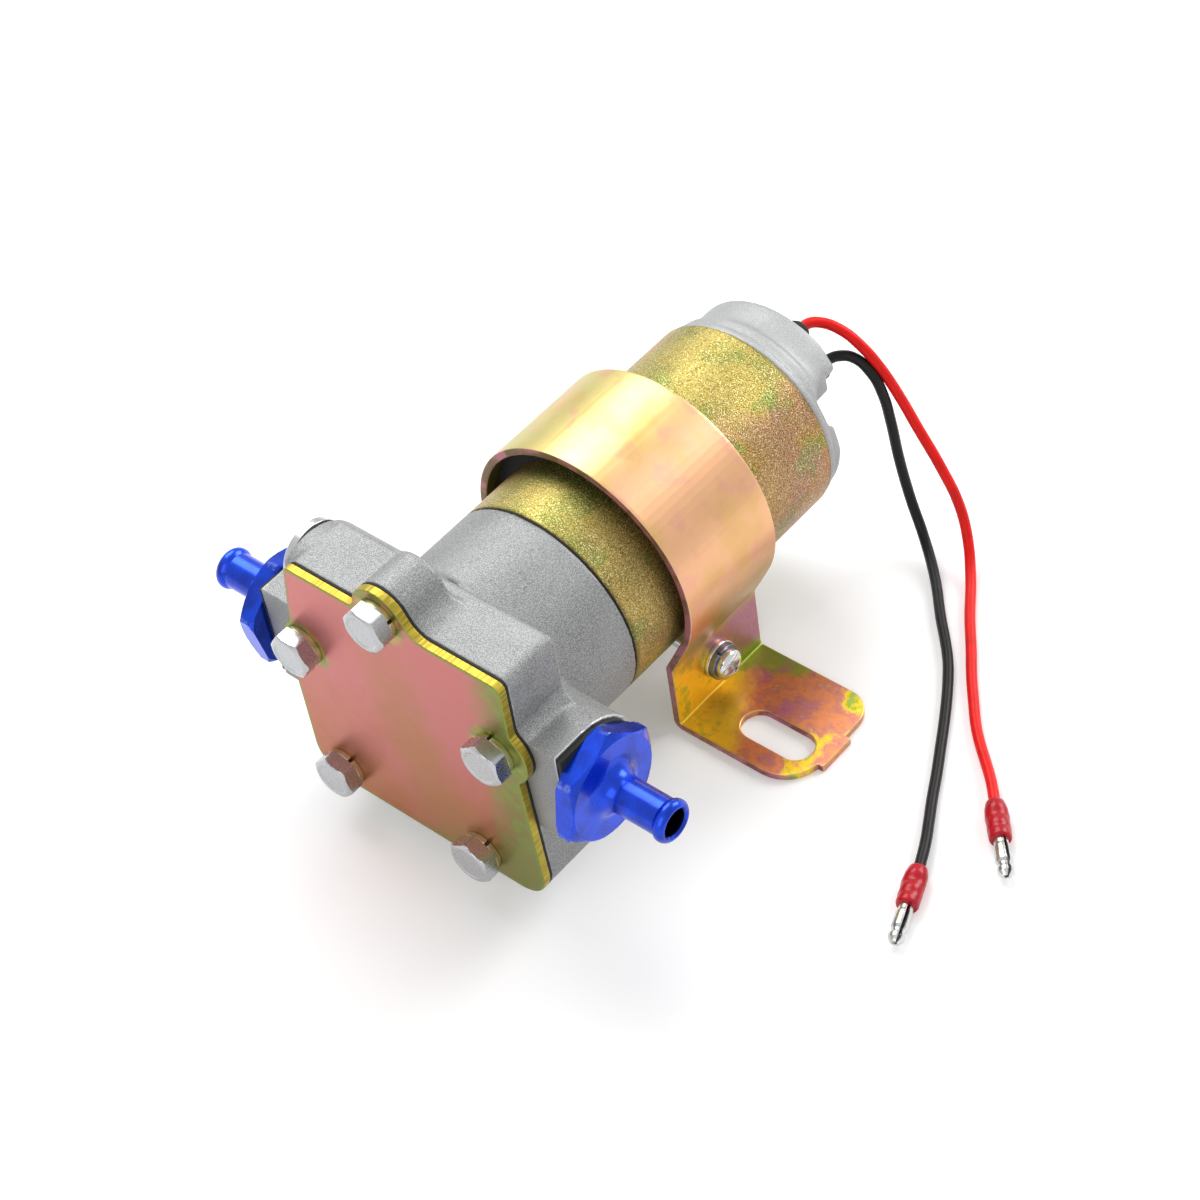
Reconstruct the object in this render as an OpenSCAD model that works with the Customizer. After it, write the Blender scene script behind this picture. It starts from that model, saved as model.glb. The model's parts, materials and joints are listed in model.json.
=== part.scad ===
// Electric fuel pump: a rotary vane pump head bolted to a 12 V motor, held in a strap
// bracket with two slotted feet. +Y runs from the cover plate to the end bell, +X to the
// outlet, +Z up. The origin is midway between the two foot slots, on the floor.

/* [Motor] */
// Outer diameter of the motor case
case_d = 54; // [52:1:60]
// Wall of the motor case
case_wall = 2.2; // [1.4:0.2:2.4]
// Length of the motor case
case_len = 72.4; // [70:1:90]
// Height of the motor axis over the underside of the feet
axis_h = 43; // [42:1:50]
// Diameter of the armature shaft
shaft_d = 8; // [6:0.5:8]
// Diameter of the laminated armature core
core_d = 37.2; // [34:0.2:38]
// Length of the laminated armature core
core_len = 38; // [30:1:44]
// Number of armature slots
core_slots = 12; // [8:1:12]
// Diameter of the commutator
commutator_d = 19; // [16:0.5:19]
// Inner diameter of the field magnets
magnet_bore_d = 38.8; // [38.6:0.2:41]
// Length of the field magnets
magnet_len = 48; // [40:1:50]

/* [Pump head] */
// Width of the cover plate at its foot
cover_w = 71.6; // [71:0.2:76]
// Height of the cover's straight top edge over the motor axis
cover_top = 36.3; // [36:0.5:38]
// Depth of the cover's foot edge under the motor axis
cover_foot = 35.2; // [35:0.5:38]
// Thickness of the cover plate
cover_t = 2.2; // [1.5:0.1:3]
// Thickness of each flat gasket
gasket_t = 0.6; // [0.4:0.1:0.8]
// Depth of the casting behind the cover plate
block_len = 15.1; // [15:0.5:18]
// Distance from the front of the casting to the motor case
head_len = 44.3; // [44:1:52]
// Diameter of the pump chamber
chamber_d = 40; // [38:0.5:41]
// Depth of the pump chamber
chamber_len = 14; // [13:0.2:14.2]
// Diameter of the rotor
rotor_d = 24; // [22:0.5:24]
// Offset of the pumping bore from the motor axis
cam_offset = 1.4; // [1:0.1:1.6]
// Number of rotor vanes
vane_count = 4; // [3:1:5]

/* [Ports] */
// Distance of the port axis behind the front of the casting
port_back = 9.3; // [9:0.1:9.6]
// Height of the port axis over the motor axis
port_up = 3.6; // [2.5:0.1:3.6]
// Distance of each port face from the middle
port_face_x = 44; // [43:0.5:48]
// Radius of the round port bosses
port_boss_r = 14.4; // [13.5:0.1:14.4]
// Width across the flats of the hose fittings
fitting_af = 26; // [22:1:26]
// Thickness of the hexagon of each fitting
fitting_hex_t = 5.1; // [4:0.1:7]
// Outer diameter of the hose stem
stem_d = 9; // [8.5:0.1:9.5]
// Outer diameter of the bead at the end of the stem
bead_d = 10.4; // [10:0.1:11]
// Bore of the hose stem
stem_bore_d = 6.8; // [5:0.1:7]
// Length of the stem from the hexagon to its end
stem_len = 17.4; // [16:0.2:24]

/* [Relief valve] */
// Radius of the rounded casting round the relief valve
relief_r = 14; // [13.5:0.1:14.2]
// Height of the relief valve axis over the motor axis
relief_up = 26.9; // [26.9:0.1:27.4]
// Diameter of the relief piston bore
relief_bore_d = 12; // [10:0.2:12]
// Lift of the relief piston off its seat
relief_lift = 3; // [1:0.5:4]

/* [Bracket] */
// Width of the strap
strap_w = 31.3; // [28:0.5:34]
// Thickness of the strap metal
strap_t = 2; // [1.5:0.1:2.5]
// Inner radius of the strap hoop
hoop_r = 29.75; // [29.5:0.25:32]
// Height of the centre of the hoop over the motor axis
hoop_up = 2.05; // [1.5:0.1:3]
// Distance of the outside of each leg from the middle
leg_x = 23.2; // [22.5:0.1:24]
// Depth of the crease between hoop and leg under the motor axis
crease_down = 22.5; // [22:0.1:23.5]
// Distance of the end of each foot from the middle
foot_end_x = 57.6; // [57:0.5:64]
// Distance between the slot centres
slot_spacing = 88.8; // [88:0.2:92]
// Width of each slot
slot_w = 8.9; // [6.5:0.1:9]
// Length of each slot, end to end
slot_len = 20; // [14:0.5:20]
// Distance from the front end of the motor case to the middle of the strap
strap_to_case = 29.5; // [28:0.5:31]
// Distance of the middle of the strap behind the slots
strap_back = 5.2; // [3:0.1:5.4]

/* [Fasteners] */
// Thread diameter of the cover bolts
bolt_d = 6; // [5:0.5:6]
// Width across the flats of the cover bolts
bolt_af = 10.6; // [10:0.1:11]
// Height of the head of a cover bolt
bolt_head_t = 4; // [3:0.2:5]
// Thickness of the split lock washers
lock_t = 1.4; // [1:0.1:1.8]
// Outer diameter of the split lock washers
lock_d = 10.7; // [10.2:0.1:11]
// Thread diameter of the clamp screw through the legs
clamp_d = 5; // [4:0.5:6]
// Share of the way from the foot up to the motor case at which the clamp screw sits
clamp_share = 0.643; // [0.6:0.01:0.66]
// Thread diameter of the two long motor bolts
tie_d = 4; // [3:0.5:4]

/* [Wires] */
// Outer diameter of each wire
wire_d = 2.7; // [2.2:0.1:2.8]
// Outer diameter of the crimp sleeves
sleeve_d = 5.4; // [5:0.1:6]
// Length of the crimp sleeves
sleeve_len = 11; // [9:0.5:13]
// Diameter of the bullet terminals
bullet_d = 4; // [3.5:0.1:4.5]
// Length of the bullets that shows outside the sleeve
bullet_len = 10.5; // [8:0.5:12]

/* [Hidden] */
$fn = 64;

// Fits and small gaps
running = 0.05;
seat = 0.1;
overlap = 1;
bolt_gap = 0.05;
chamfer = 0.8;

// Stations along the motor, from the strap back to the end bell and forward to the cover
case_y0 = strap_back - strap_to_case;
case_y1 = case_y0 + case_len;
case_r = case_d / 2;
case_bore_r = case_r - case_wall;
head_y0 = case_y0 - head_len;
block_y1 = head_y0 + block_len;
cover_y0 = head_y0 - gasket_t - cover_t;
chamber_y1 = head_y0 + chamber_len;
seal_y1 = chamber_y1 + 4;
hub_y1 = chamber_y1 + 14.6;
skirt_y0 = chamber_y1 + 4.6;
skirt_bore_r = case_r - 3;
tie_y0 = case_y0 - 12;
spigot_len = 3;
seam_t = 0.35;
spigot_r = case_bore_r - seat;
spigot_bore_r = spigot_r - 2.6;
port_y = head_y0 + port_back;
bush_r = shaft_d / 2 + 2;
bush_gap = 0.02;
hub_r = bush_r + 3.5;
shaft_r = shaft_d / 2;

// Armature, commutator and brushes
commutator_back = 9.6;
commutator_y0 = case_y1 - commutator_back;
winding_slot_r = 1.8;
winding_bar_r = 1.6;
winding_circle_r = core_d / 2 - 2.8;
winding_end = 6;
winding_gap = 0.5;
core_y1 = commutator_y0 - winding_gap - winding_end;
core_y0 = core_y1 - core_len;
commutator_len = 8.5;
magnet_y0 = core_y0 - (magnet_len - core_len) / 2 - 1;
brush_y = commutator_y0 + 4;
brush_w = 5;
brush_h = 6;
brush_len = 6;
brush_x0 = commutator_d / 2 + 0.3;
brush_travel = 1.5;
holder_wall = 1.2;
holder_x0 = brush_x0 + 1.2;
holder_gap = 0.15;
holder_high = brush_h / 2 + holder_gap + holder_wall;
holder_x1 = sqrt(pow(spigot_bore_r - 0.3, 2) - pow(holder_high, 2));
plate_t = 1.6;
plate_y1 = case_y1;
plate_y0 = plate_y1 - plate_t;
plate_r = spigot_bore_r - 0.1;

// End bell
flange_t = 1.9;
flange_r = case_r - 0.4;
pocket_y = case_y1 + 3.8;
step_y = case_y1 + 5.9;
step_r = case_r - 1.2;
boss_y = case_y1 + 15.1;
boss_r = case_r - 2.6;
boss_low = 5.5;
boss_corner_r = 6;
bell_wall = 2.5;
bell_bore_r = plate_r - 1.5;
tie_angle = 25;
tie_circle_r = core_d / 2 + tie_d / 2 + 0.9;
tie_head_r = tie_d * 0.75;
tie_head_t = tie_d * 0.5;
pocket_r = tie_head_r + 1.8;
pocket_at = tie_circle_r + 1.4;
tie_head_y = pocket_y - tie_head_t - 0.2;
pocket_wall = 1.7;
bell_bush_y0 = case_y1 + 2.4;
bell_bush_len = 8;
ball_r = 2;
red_exit = [6, 18];
black_exit = [11.5, 9.5];
grommet_r = 2.9;
grommet_hole_r = 2.5;
grommet_nose = 2.2;
exit_y = boss_y + grommet_nose;

// Cover outline in x and height over the motor axis
cover_slant = 6.4;
cover_top_left = cover_slant - cover_w / 2;
cover_side_x = 34;
cover_bend_z = -4;
corner_r = 2;
foot_corner_r = 8;
bolt_top = [0, cover_top + 1.3];
bolt_right = [28.7, 12.8];
bolt_left = [-29.2, 11.3];
bolt_foot_left = [-25.9, 6.2 - cover_foot];
bolt_foot_right = [17, 5.9 - cover_foot];
bolt_at = [bolt_top, bolt_right, bolt_left, bolt_foot_left, bolt_foot_right];
lug_top_r = 7.75;
lug_right_r = 9;
lug_left_r = 6.3;
bolt_turn = [8, 22, 2, 14, 26];
bolt_rim = 1.1;
bolt_dish = 0.3;
washer_turn = [28, 92, 150, 58, 62];
bolt_depth = 9.5;
washer_split = 0.8;
top_lug_len = 11.3;

// Ports
port_bore_r = 7.4;
port_thread_len = 10;
passage_r = 4;
seal_ring_t = 1.2;
hex_x0 = port_face_x + seal_ring_t;
hex_x1 = hex_x0 + fitting_hex_t;
stem_tip_x = hex_x1 + stem_len;
stem_r = stem_d / 2;
bead_r = bead_d / 2;
neck_r = 4;

// Relief valve
relief_end_x = cover_w / 2 - 3.4;
relief_y = head_y0 + 9.6;
relief_house_y = head_y0 + 7.8;
relief_house_up = cover_top - relief_r - 0.1;
relief_seat_x = 14;
drilling_r = 1.5;
drilling_x = chamber_d / 2 + 3;
relief_seat_r = 3.4;
piston_len = 8;
relief_cap_t = 3.4;
relief_cap_r = 8.7;
relief_plug_len = 5;
relief_wire_r = 0.55;
relief_turns = 4.5;
spring_seat_x = -relief_seat_x - piston_len;
plug_x = -relief_end_x - gasket_t + relief_plug_len;

// Brush springs
brush_wire_r = 0.3;
brush_turns = 3;

// Bracket
strap_y0 = strap_back - strap_w / 2;
strap_y1 = strap_back + strap_w / 2;
crease_z = axis_h - crease_down;
hoop_z = axis_h + hoop_up;
hoop_out_r = hoop_r + strap_t;
crease_dist = norm([leg_x, crease_z - hoop_z]);
crease_angle = atan2(hoop_z - crease_z, leg_x) - acos(hoop_out_r / crease_dist);
foot_bend_r = 0.6;
liner_set_back = 4.4;
liner_gap = 0.05;
tab_w = 10.8;
tab_len = 1.6;
foot_front_r = 10;
foot_rear_r = 7;
clamp_y = strap_back;
clamp_z = strap_t + clamp_share * (axis_h - case_r - strap_t);
clamp_head_r = clamp_d * 0.78;
clamp_head_t = 3;
clamp_spring_t = 1.4;
clamp_flat_t = 1;
clamp_flat_r = clamp_d;
clamp_nut_af = clamp_d * 1.6;
clamp_nut_t = clamp_d * 0.8;

// Wires: route points as x, y, z in millimetres
wire_r = wire_d / 2;
red_route = [
  [red_exit[0], exit_y, axis_h + red_exit[1]], [6.2, 68, 61.2], [8, 70.8, 60.4],
  [12.4, 73, 58.4], [17, 74.2, 54.8], [21.4, 75.4, 49], [26, 76.4, 41], [31, 76.6, 32.6],
  [37.6, 76, 23.8], [43.2, 75.4, 14], [47.2, 72.8, 7], [52, 67, 2.4], [60, 55.4, 1.35],
  [65.6, 48, 1.35], [71, 40.6, 1.35], [75.8, 34.6, 1.35], [80.6, 28.8, 1.35],
  [85, 24.4, 1.45], [89.2, 20.6, 1.8], [93.6, 16.4, 2.4], [98, 11.6, 2.7]];
black_route = [
  [black_exit[0], exit_y, axis_h + black_exit[1]], [11.8, 67.6, 52.6], [13, 70.4, 52.4],
  [16, 72.4, 51.8], [20.2, 73.2, 48.6], [23.2, 73.6, 42.4], [25, 73.6, 34.6],
  [27.4, 73, 23.2], [31, 71.8, 13], [36.6, 69, 5.2], [44.6, 62.2, 1.9], [54.4, 51.4, 1.35],
  [59, 46.6, 1.35], [63.4, 41.6, 1.35], [67, 36.6, 1.35], [70.6, 31, 1.35],
  [74.4, 24.6, 1.35], [78, 18.2, 1.35], [81.6, 11.8, 1.35], [85, 5.4, 1.45],
  [88.2, -0.2, 1.8], [91.8, -6.6, 2.4], [95, -13.4, 2.7]];
red_lay = [0.67, -0.742];
black_lay = [0.364, -0.931];

// Cylinders and extrusions along the three axes
module along_y(r, y0, y1) { translate([0, y0, 0]) rotate([-90, 0, 0]) cylinder(h = y1 - y0, r = r); }
module along_x(r, x0, x1) { translate([x0, 0, 0]) rotate([0, 90, 0]) cylinder(h = x1 - x0, r = r); }
module slab_y(y0, y1) { translate([0, y1, 0]) rotate([90, 0, 0]) linear_extrude(y1 - y0) children(); }
module on_axis() { translate([0, 0, axis_h]) children(); }
module tube_y(r_out, r_in, y0, y1) {
  difference() {
    along_y(r_out, y0, y1);
    along_y(r_in, y0 - overlap, y1 + overlap);
  }
}
module turned_x(profile) { rotate([0, 90, 0]) rotate_extrude() polygon(profile); }

// Corner arc and a polygon with a radius at every corner, given as [x, y, r]
function unit(v) = v / norm(v);
function corner_arc(a, b, c, r, n) =
  let(u = unit(a - b), w = unit(c - b), half = acos(max(-1, min(1, u * w))) / 2,
    mid = b + unit(u + w) * r / sin(half), p = b + u * r / tan(half),
    turn = sign(cross(b - a, c - b)), a0 = atan2(p[1] - mid[1], p[0] - mid[0]))
  r == 0 ? [b] : [for (i = [0:n]) mid + r * [cos(a0 + turn * (180 - 2 * half) * i / n),
    sin(a0 + turn * (180 - 2 * half) * i / n)]];
function xy(p) = [p[0], p[1]];
function rounded(pts, n = 8) = [for (i = [0:len(pts) - 1])
  each corner_arc(xy(pts[(i + len(pts) - 1) % len(pts)]), xy(pts[i]),
    xy(pts[(i + 1) % len(pts)]), pts[i][2], n)];
function arc(r, a0, a1, n) = [for (i = [0:n]) r * [cos(a0 + (a1 - a0) * i / n), sin(a0 + (a1 - a0) * i / n)]];
function hex_points(af) = [for (i = [0:5]) af / sqrt(3) * [cos(60 * i), sin(60 * i)]];

// Tube swept through a list of points, with its end faces square to the ends
function tangent(pts, i) = unit(pts[min(i + 1, len(pts) - 1)] - pts[max(i - 1, 0)]);
function side_of(t) = abs(t[2]) > 0.9 ? unit(cross([1, 0, 0], t)) : unit(cross([0, 0, 1], t));
function carried(pts, i) = i == 0 ? side_of(tangent(pts, 0)) :
  let(s = carried(pts, i - 1), t = tangent(pts, i)) unit(s - t * (s * t));
function ring(pts, i, r, n, start) =
  let(t = i == 0 ? start : tangent(pts, i), s0 = carried(pts, i), s = unit(s0 - t * (s0 * t)),
    up = cross(t, s))
  [for (k = [0:n - 1]) pts[i] + r * (cos(360 * k / n) * s + sin(360 * k / n) * up)];
module swept(pts, r, n, start) {
  m = len(pts);
  points = [for (i = [0:m - 1]) each ring(pts, i, r, n, start)];
  faces = [
    [for (k = [0:n - 1]) k],
    [for (k = [n - 1:-1:0]) (m - 1) * n + k],
    for (i = [0:m - 2]) for (k = [0:n - 1])
      each [[i * n + k, (i + 1) * n + k, (i + 1) * n + (k + 1) % n],
        [i * n + k, (i + 1) * n + (k + 1) % n, i * n + (k + 1) % n]]];
  polyhedron(points, faces);
}

// Compression coil along +Z from 0 to length, its end turns drawn in to the next one
coil_rings = 8;
function coil_rise(u, closed) = let(e = closed / 2)
  u < e ? u * u * closed : u > 1 - e ? 1 - pow(1 - u, 2) * closed :
  e * e * closed + (u - e) * (1 - 2 * e * e * closed) / (1 - 2 * e);
function coil_points(length, radius, wire, turns) = [for (i = [0:turns * coil_rings])
  let(u = i / (turns * coil_rings))
  [radius * cos(360 * i / coil_rings), radius * sin(360 * i / coil_rings),
    wire + u * (length - 2 * wire)]];
module coil(length, radius, wire, turns) {
  pts = coil_points(length, radius, wire, turns);
  gaps = [for (i = [0:len(pts) - coil_rings - 1]) norm(pts[i + coil_rings] - pts[i]) - 2 * wire];
  echo(least_coil_gap = min(gaps));
  swept(pts, wire, 6, tangent(pts, 0));
}

// Points along a straight edge past a round lug, with a fillet on each side. The edge runs
// at the given angle with its outside on the left, dist out from the centre of the lug.
function turned(p, a) = [p[0] * cos(a) - p[1] * sin(a), p[0] * sin(a) + p[1] * cos(a)];
function lug_path(at, angle, r, dist, f1, f2) =
  let(m1 = [-sqrt(pow(r + f1, 2) - pow(dist + f1, 2)), dist + f1],
    m2 = [sqrt(pow(r + f2, 2) - pow(dist + f2, 2)), dist + f2],
    local = concat([for (p = arc(f1, -90, atan2(-m1[1], -m1[0]), 4)) m1 + p],
      [for (i = [1:11]) let(a = atan2(m1[1], m1[0]), b = atan2(m2[1], m2[0])) r * [cos(a + (b - a) * i / 12),
        sin(a + (b - a) * i / 12)]],
      [for (p = arc(f2, atan2(-m2[1], -m2[0]), -90, 4)) m2 + p]))
  [for (p = local) at + turned(p, angle)];
top_left = [cover_top_left, cover_top];
top_right = [cover_side_x, cover_top];
foot_right = [cover_w / 2, -cover_foot];
foot_left = [-cover_w / 2, -cover_foot];
left_bend = [-cover_w / 2, cover_bend_z];
left_angle = atan2(top_left[1] - left_bend[1], top_left[0] - left_bend[0]);
left_dist = (left_bend - bolt_left) * turned([0, 1], left_angle);
top_lug = lug_path(bolt_top, 0, lug_top_r, cover_top - bolt_top[1], 2, 6);
right_lug = lug_path(bolt_right, -90, lug_right_r, cover_side_x - bolt_right[0], 3, 2);
left_lug = lug_path(bolt_left, left_angle, lug_left_r, left_dist, 2, 2);
right_foot = right_lug[len(right_lug) - 1];
function cover_points(with_top) = concat(
  corner_arc(left_bend, top_left, top_right, corner_r, 4), with_top ? top_lug : [],
  corner_arc(top_left, top_right, foot_right, corner_r, 4), right_lug,
  corner_arc(right_foot, foot_right, foot_left, foot_corner_r, 8),
  corner_arc(foot_right, foot_left, left_bend, foot_corner_r, 8),
  corner_arc(foot_left, left_bend, top_left, 20, 3), left_lug);
module bolt_holes(r, y0, y1) { for (p = bolt_at) translate([p[0], 0, p[1]]) along_y(r, y0, y1); }
module at_pockets() { for (s = [0, 180]) rotate([0, -tie_angle - s, 0]) translate([pocket_at, 0, 0]) children(); }
module at_tie_bolts() { for (s = [0, 180]) rotate([0, -tie_angle - s, 0]) translate([tie_circle_r, 0, 0]) children(); }

module cover_plate() {
  color([0.82, 0.62, 0.45]) on_axis() difference() {
    slab_y(cover_y0, cover_y0 + cover_t) polygon(cover_points(true));
    bolt_holes(bolt_d / 2 + 0.2, cover_y0 - overlap, head_y0);
  }
}
module cover_gasket() {
  color([0.06, 0.06, 0.06]) on_axis() difference() {
    slab_y(head_y0 - gasket_t, head_y0) polygon(cover_points(true));
    bolt_holes(bolt_d / 2 + 0.3, cover_y0, head_y0 + overlap);
    along_y(chamber_d / 2 + 0.5, cover_y0, head_y0 + overlap);
  }
}
module hex_head(af, y0, y1) {
  // Hexagon whose outer corners are turned off at 30 degrees
  intersection() {
    slab_y(y0, y1) polygon(hex_points(af));
    translate([0, y0, 0]) rotate([-90, 0, 0])
      cylinder(h = y1 - y0, r1 = af / 2 - 0.1, r2 = af / 2 - 0.1 + (y1 - y0) * tan(60));
  }
}
module cover_bolts() {
  color([0.86, 0.87, 0.88]) on_axis() for (i = [0:len(bolt_at) - 1]) let(p = bolt_at[i])
    translate([p[0], 0, p[1]]) {
      difference() {
        rotate([0, bolt_turn[i], 0]) hex_head(bolt_af, cover_y0 - lock_t - bolt_head_t, cover_y0 - lock_t);
        along_y(bolt_af / 2 - bolt_rim, cover_y0 - lock_t - bolt_head_t - overlap, cover_y0 - lock_t - bolt_head_t + bolt_dish);
      }
      along_y(bolt_d / 2, cover_y0 - lock_t - overlap, head_y0 + bolt_depth);
    }
}
module split_washer(r_out, r_in, y0, y1, angle) {
  rotate([0, -angle, 0]) difference() {
    tube_y(r_out, r_in, y0, y1);
    translate([0, y0 - overlap, -washer_split / 2]) cube([r_out + overlap, y1 - y0 + 2 * overlap, washer_split]);
  }
}
module cover_lock_washers() {
  color([0.8, 0.78, 0.68]) on_axis() for (i = [0:len(bolt_at) - 1]) let(p = bolt_at[i])
    translate([p[0], 0, p[1]])
      split_washer(lock_d / 2, bolt_d / 2 + 0.1, cover_y0 - lock_t, cover_y0, washer_turn[i]);
}

function boss_profile(r, front) = concat([[-front, r]], arc(r, 90, -90, 20), [[-front, -r]]);
module boss_x(r, front, x0, x1) {
  translate([x0, port_y, port_up]) rotate([90, 0, 90]) linear_extrude(x1 - x0) polygon(boss_profile(r, front));
}
module head_body() {
  slab_y(head_y0, block_y1) polygon(cover_points(false));
  slab_y(head_y0, head_y0 + top_lug_len)
    polygon(concat(top_lug, [bolt_top + [lug_top_r, -lug_top_r], bolt_top + [-lug_top_r, -lug_top_r]]));
  along_y(case_r, block_y1 - overlap, case_y0);
  along_y(spigot_r, case_y0 - spigot_len, case_y0 + spigot_len);
  boss_x(port_boss_r, port_back, -port_face_x, port_face_x);
  intersection() {
    translate([0, relief_house_y, relief_house_up]) along_x(relief_r, -relief_end_x, 0);
    translate([-relief_end_x, head_y0, 0]) cube([relief_end_x, 2 * relief_r, 2 * cover_top]);
  }
}
module pump_head() {
  color([0.68, 0.69, 0.7]) on_axis() difference() {
    union() {
      difference() {
        head_body();
        along_y(chamber_d / 2, head_y0 - overlap, chamber_y1);
        along_y(skirt_bore_r, skirt_y0, case_y0 - spigot_len);
        along_y(spigot_bore_r, skirt_y0, case_y0 + spigot_len + overlap);
        along_y(bush_r + 2, chamber_y1 - overlap, seal_y1);
        along_y(bush_r, seal_y1 - overlap, skirt_y0 + overlap);
        bolt_holes(bolt_d / 2 + bolt_gap, head_y0 - overlap, head_y0 + bolt_depth + 1.5);
        translate([0, port_y, port_up]) {
          along_x(passage_r, -port_face_x, port_face_x);
          for (s = [-1, 1]) translate([s * (port_face_x - port_thread_len / 2 + overlap / 2), 0, 0])
            along_x(port_bore_r, -(port_thread_len + overlap) / 2, (port_thread_len + overlap) / 2);
        }
        translate([0, relief_y, relief_up]) {
          along_x(relief_bore_d / 2, -relief_end_x - overlap, -relief_seat_x);
          along_x(relief_seat_r, -relief_seat_x - overlap, -relief_seat_x + 4);
          along_x(drilling_r, -relief_seat_x - overlap, drilling_x + drilling_r / 2);
        }
        for (x = [drilling_x, -relief_seat_x - drilling_r]) translate([x, relief_y, port_up])
          cylinder(h = relief_up - port_up, r = drilling_r);
      }
      tube_y(hub_r, bush_r, skirt_y0 - overlap / 2, hub_y1);
      at_tie_bolts() along_y(tie_d / 2 + 1.6, tie_y0 - 4, case_y0 - 2);
    }
    at_tie_bolts() along_y(tie_d / 2 + bolt_gap, tie_y0 - 2, case_y0 + spigot_len + overlap);
  }
}

module at_relief() { translate([0, relief_y, axis_h + relief_up]) children(); }
module relief_cap() {
  // Domed plug: a spigot in the piston bore and a shallow dome over its gasket
  face = relief_end_x + gasket_t;
  dome = 1.6;
  color([0.88, 0.89, 0.9]) at_relief() mirror([1, 0, 0]) {
    difference() {
      union() {
        turned_x(concat([[0, face], [relief_cap_r, face], [relief_cap_r, face + relief_cap_t - dome]],
          [for (i = [1:8]) [relief_cap_r * cos(90 * i / 8), face + relief_cap_t - dome + dome * sin(90 * i / 8)]]));
        along_x(relief_bore_d / 2 - seat, face - relief_plug_len, face + overlap);
      }
      along_x(relief_bore_d / 2 - 1.8, face - relief_plug_len - overlap, face - 1.5);
    }
  }
}
module relief_cap_gasket() {
  color([0.05, 0.05, 0.05]) at_relief() mirror([1, 0, 0]) difference() {
    along_x(relief_cap_r, relief_end_x, relief_end_x + gasket_t);
    along_x(relief_bore_d / 2, relief_end_x - overlap, relief_end_x + gasket_t + overlap);
  }
}
module relief_piston() {
  // Cup-shaped piston with a conical nose in the seat
  r = relief_bore_d / 2 - running;
  color([0.75, 0.76, 0.78]) at_relief() mirror([1, 0, 0]) difference() {
    turned_x([[0, relief_seat_x - 1.2], [relief_seat_r - 1.2, relief_seat_x - 1.2],
      [relief_seat_r - 0.1, relief_seat_x], [r, relief_seat_x], [r, relief_seat_x + piston_len],
      [0, relief_seat_x + piston_len]]);
    along_x(r - 1.4, relief_seat_x + piston_len - 4, relief_seat_x + piston_len + overlap);
  }
}
module relief_spring() {
  from = relief_seat_x + piston_len - 4 + seat;
  to = relief_end_x + gasket_t - 1.5 - seat;
  color([0.6, 0.62, 0.65]) at_relief() mirror([1, 0, 0]) translate([from, 0, 0]) rotate([0, 90, 0])
    coil(to - from, relief_bore_d / 2 - 1.8 - relief_wire_r - 0.15, relief_wire_r, relief_turns);
}

module fitting() {
  // Hose fitting along +X: thread, hexagon, curved neck, stem, bead and bore
  color([0.05, 0.2, 0.85]) translate([0, port_y, axis_h + port_up]) difference() {
    union() {
      intersection() {
        translate([hex_x0, 0, 0]) rotate([90, 0, 90]) linear_extrude(fitting_hex_t)
          rotate(20) polygon(hex_points(fitting_af));
        turned_x([[0, hex_x0], [fitting_af / 2 + 1, hex_x0], [fitting_af / 2 + 2.1, hex_x0 + 0.8],
          [fitting_af / 2 + 2.1, hex_x1 - 1.6], [fitting_af / 2 - 0.3, hex_x1], [0, hex_x1]]);
      }
      along_x(port_bore_r - seat, port_face_x - port_thread_len + 0.5, hex_x0 + overlap);
      turned_x(concat([[0, hex_x1 - overlap], [stem_r + neck_r, hex_x1 - overlap], [stem_r + neck_r, hex_x1]],
        [for (i = [1:8]) [stem_r + neck_r * (1 - sin(90 * i / 8)), hex_x1 + neck_r * (1 - cos(90 * i / 8))]],
        [[stem_r, stem_tip_x - 3], [bead_r - 0.25, stem_tip_x - 2.4], [bead_r, stem_tip_x - 1.9],
          [bead_r, stem_tip_x - 1.2], [bead_r - 0.5, stem_tip_x - 0.3], [bead_r - 1, stem_tip_x], [0, stem_tip_x]]));
    }
    along_x(stem_bore_d / 2, 0, stem_tip_x + overlap);
    translate([stem_tip_x - 0.5, 0, 0]) rotate([0, 90, 0])
      cylinder(h = 0.51, r1 = stem_bore_d / 2, r2 = stem_bore_d / 2 + 0.5);
  }
}
module outlet_fitting() { fitting(); }
module inlet_fitting() { mirror([1, 0, 0]) fitting(); }
module port_seals() {
  color([0.07, 0.07, 0.08]) translate([0, port_y, axis_h + port_up]) for (s = [0, 1]) mirror([s, 0, 0])
    difference() {
      translate([port_face_x, 0, 0]) rotate([90, 0, 90]) linear_extrude(seal_ring_t)
        polygon(boss_profile(port_boss_r - 0.8, port_back - 0.3));
      along_x(port_bore_r + 0.1, port_face_x - overlap, hex_x0 + overlap);
    }
}

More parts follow.
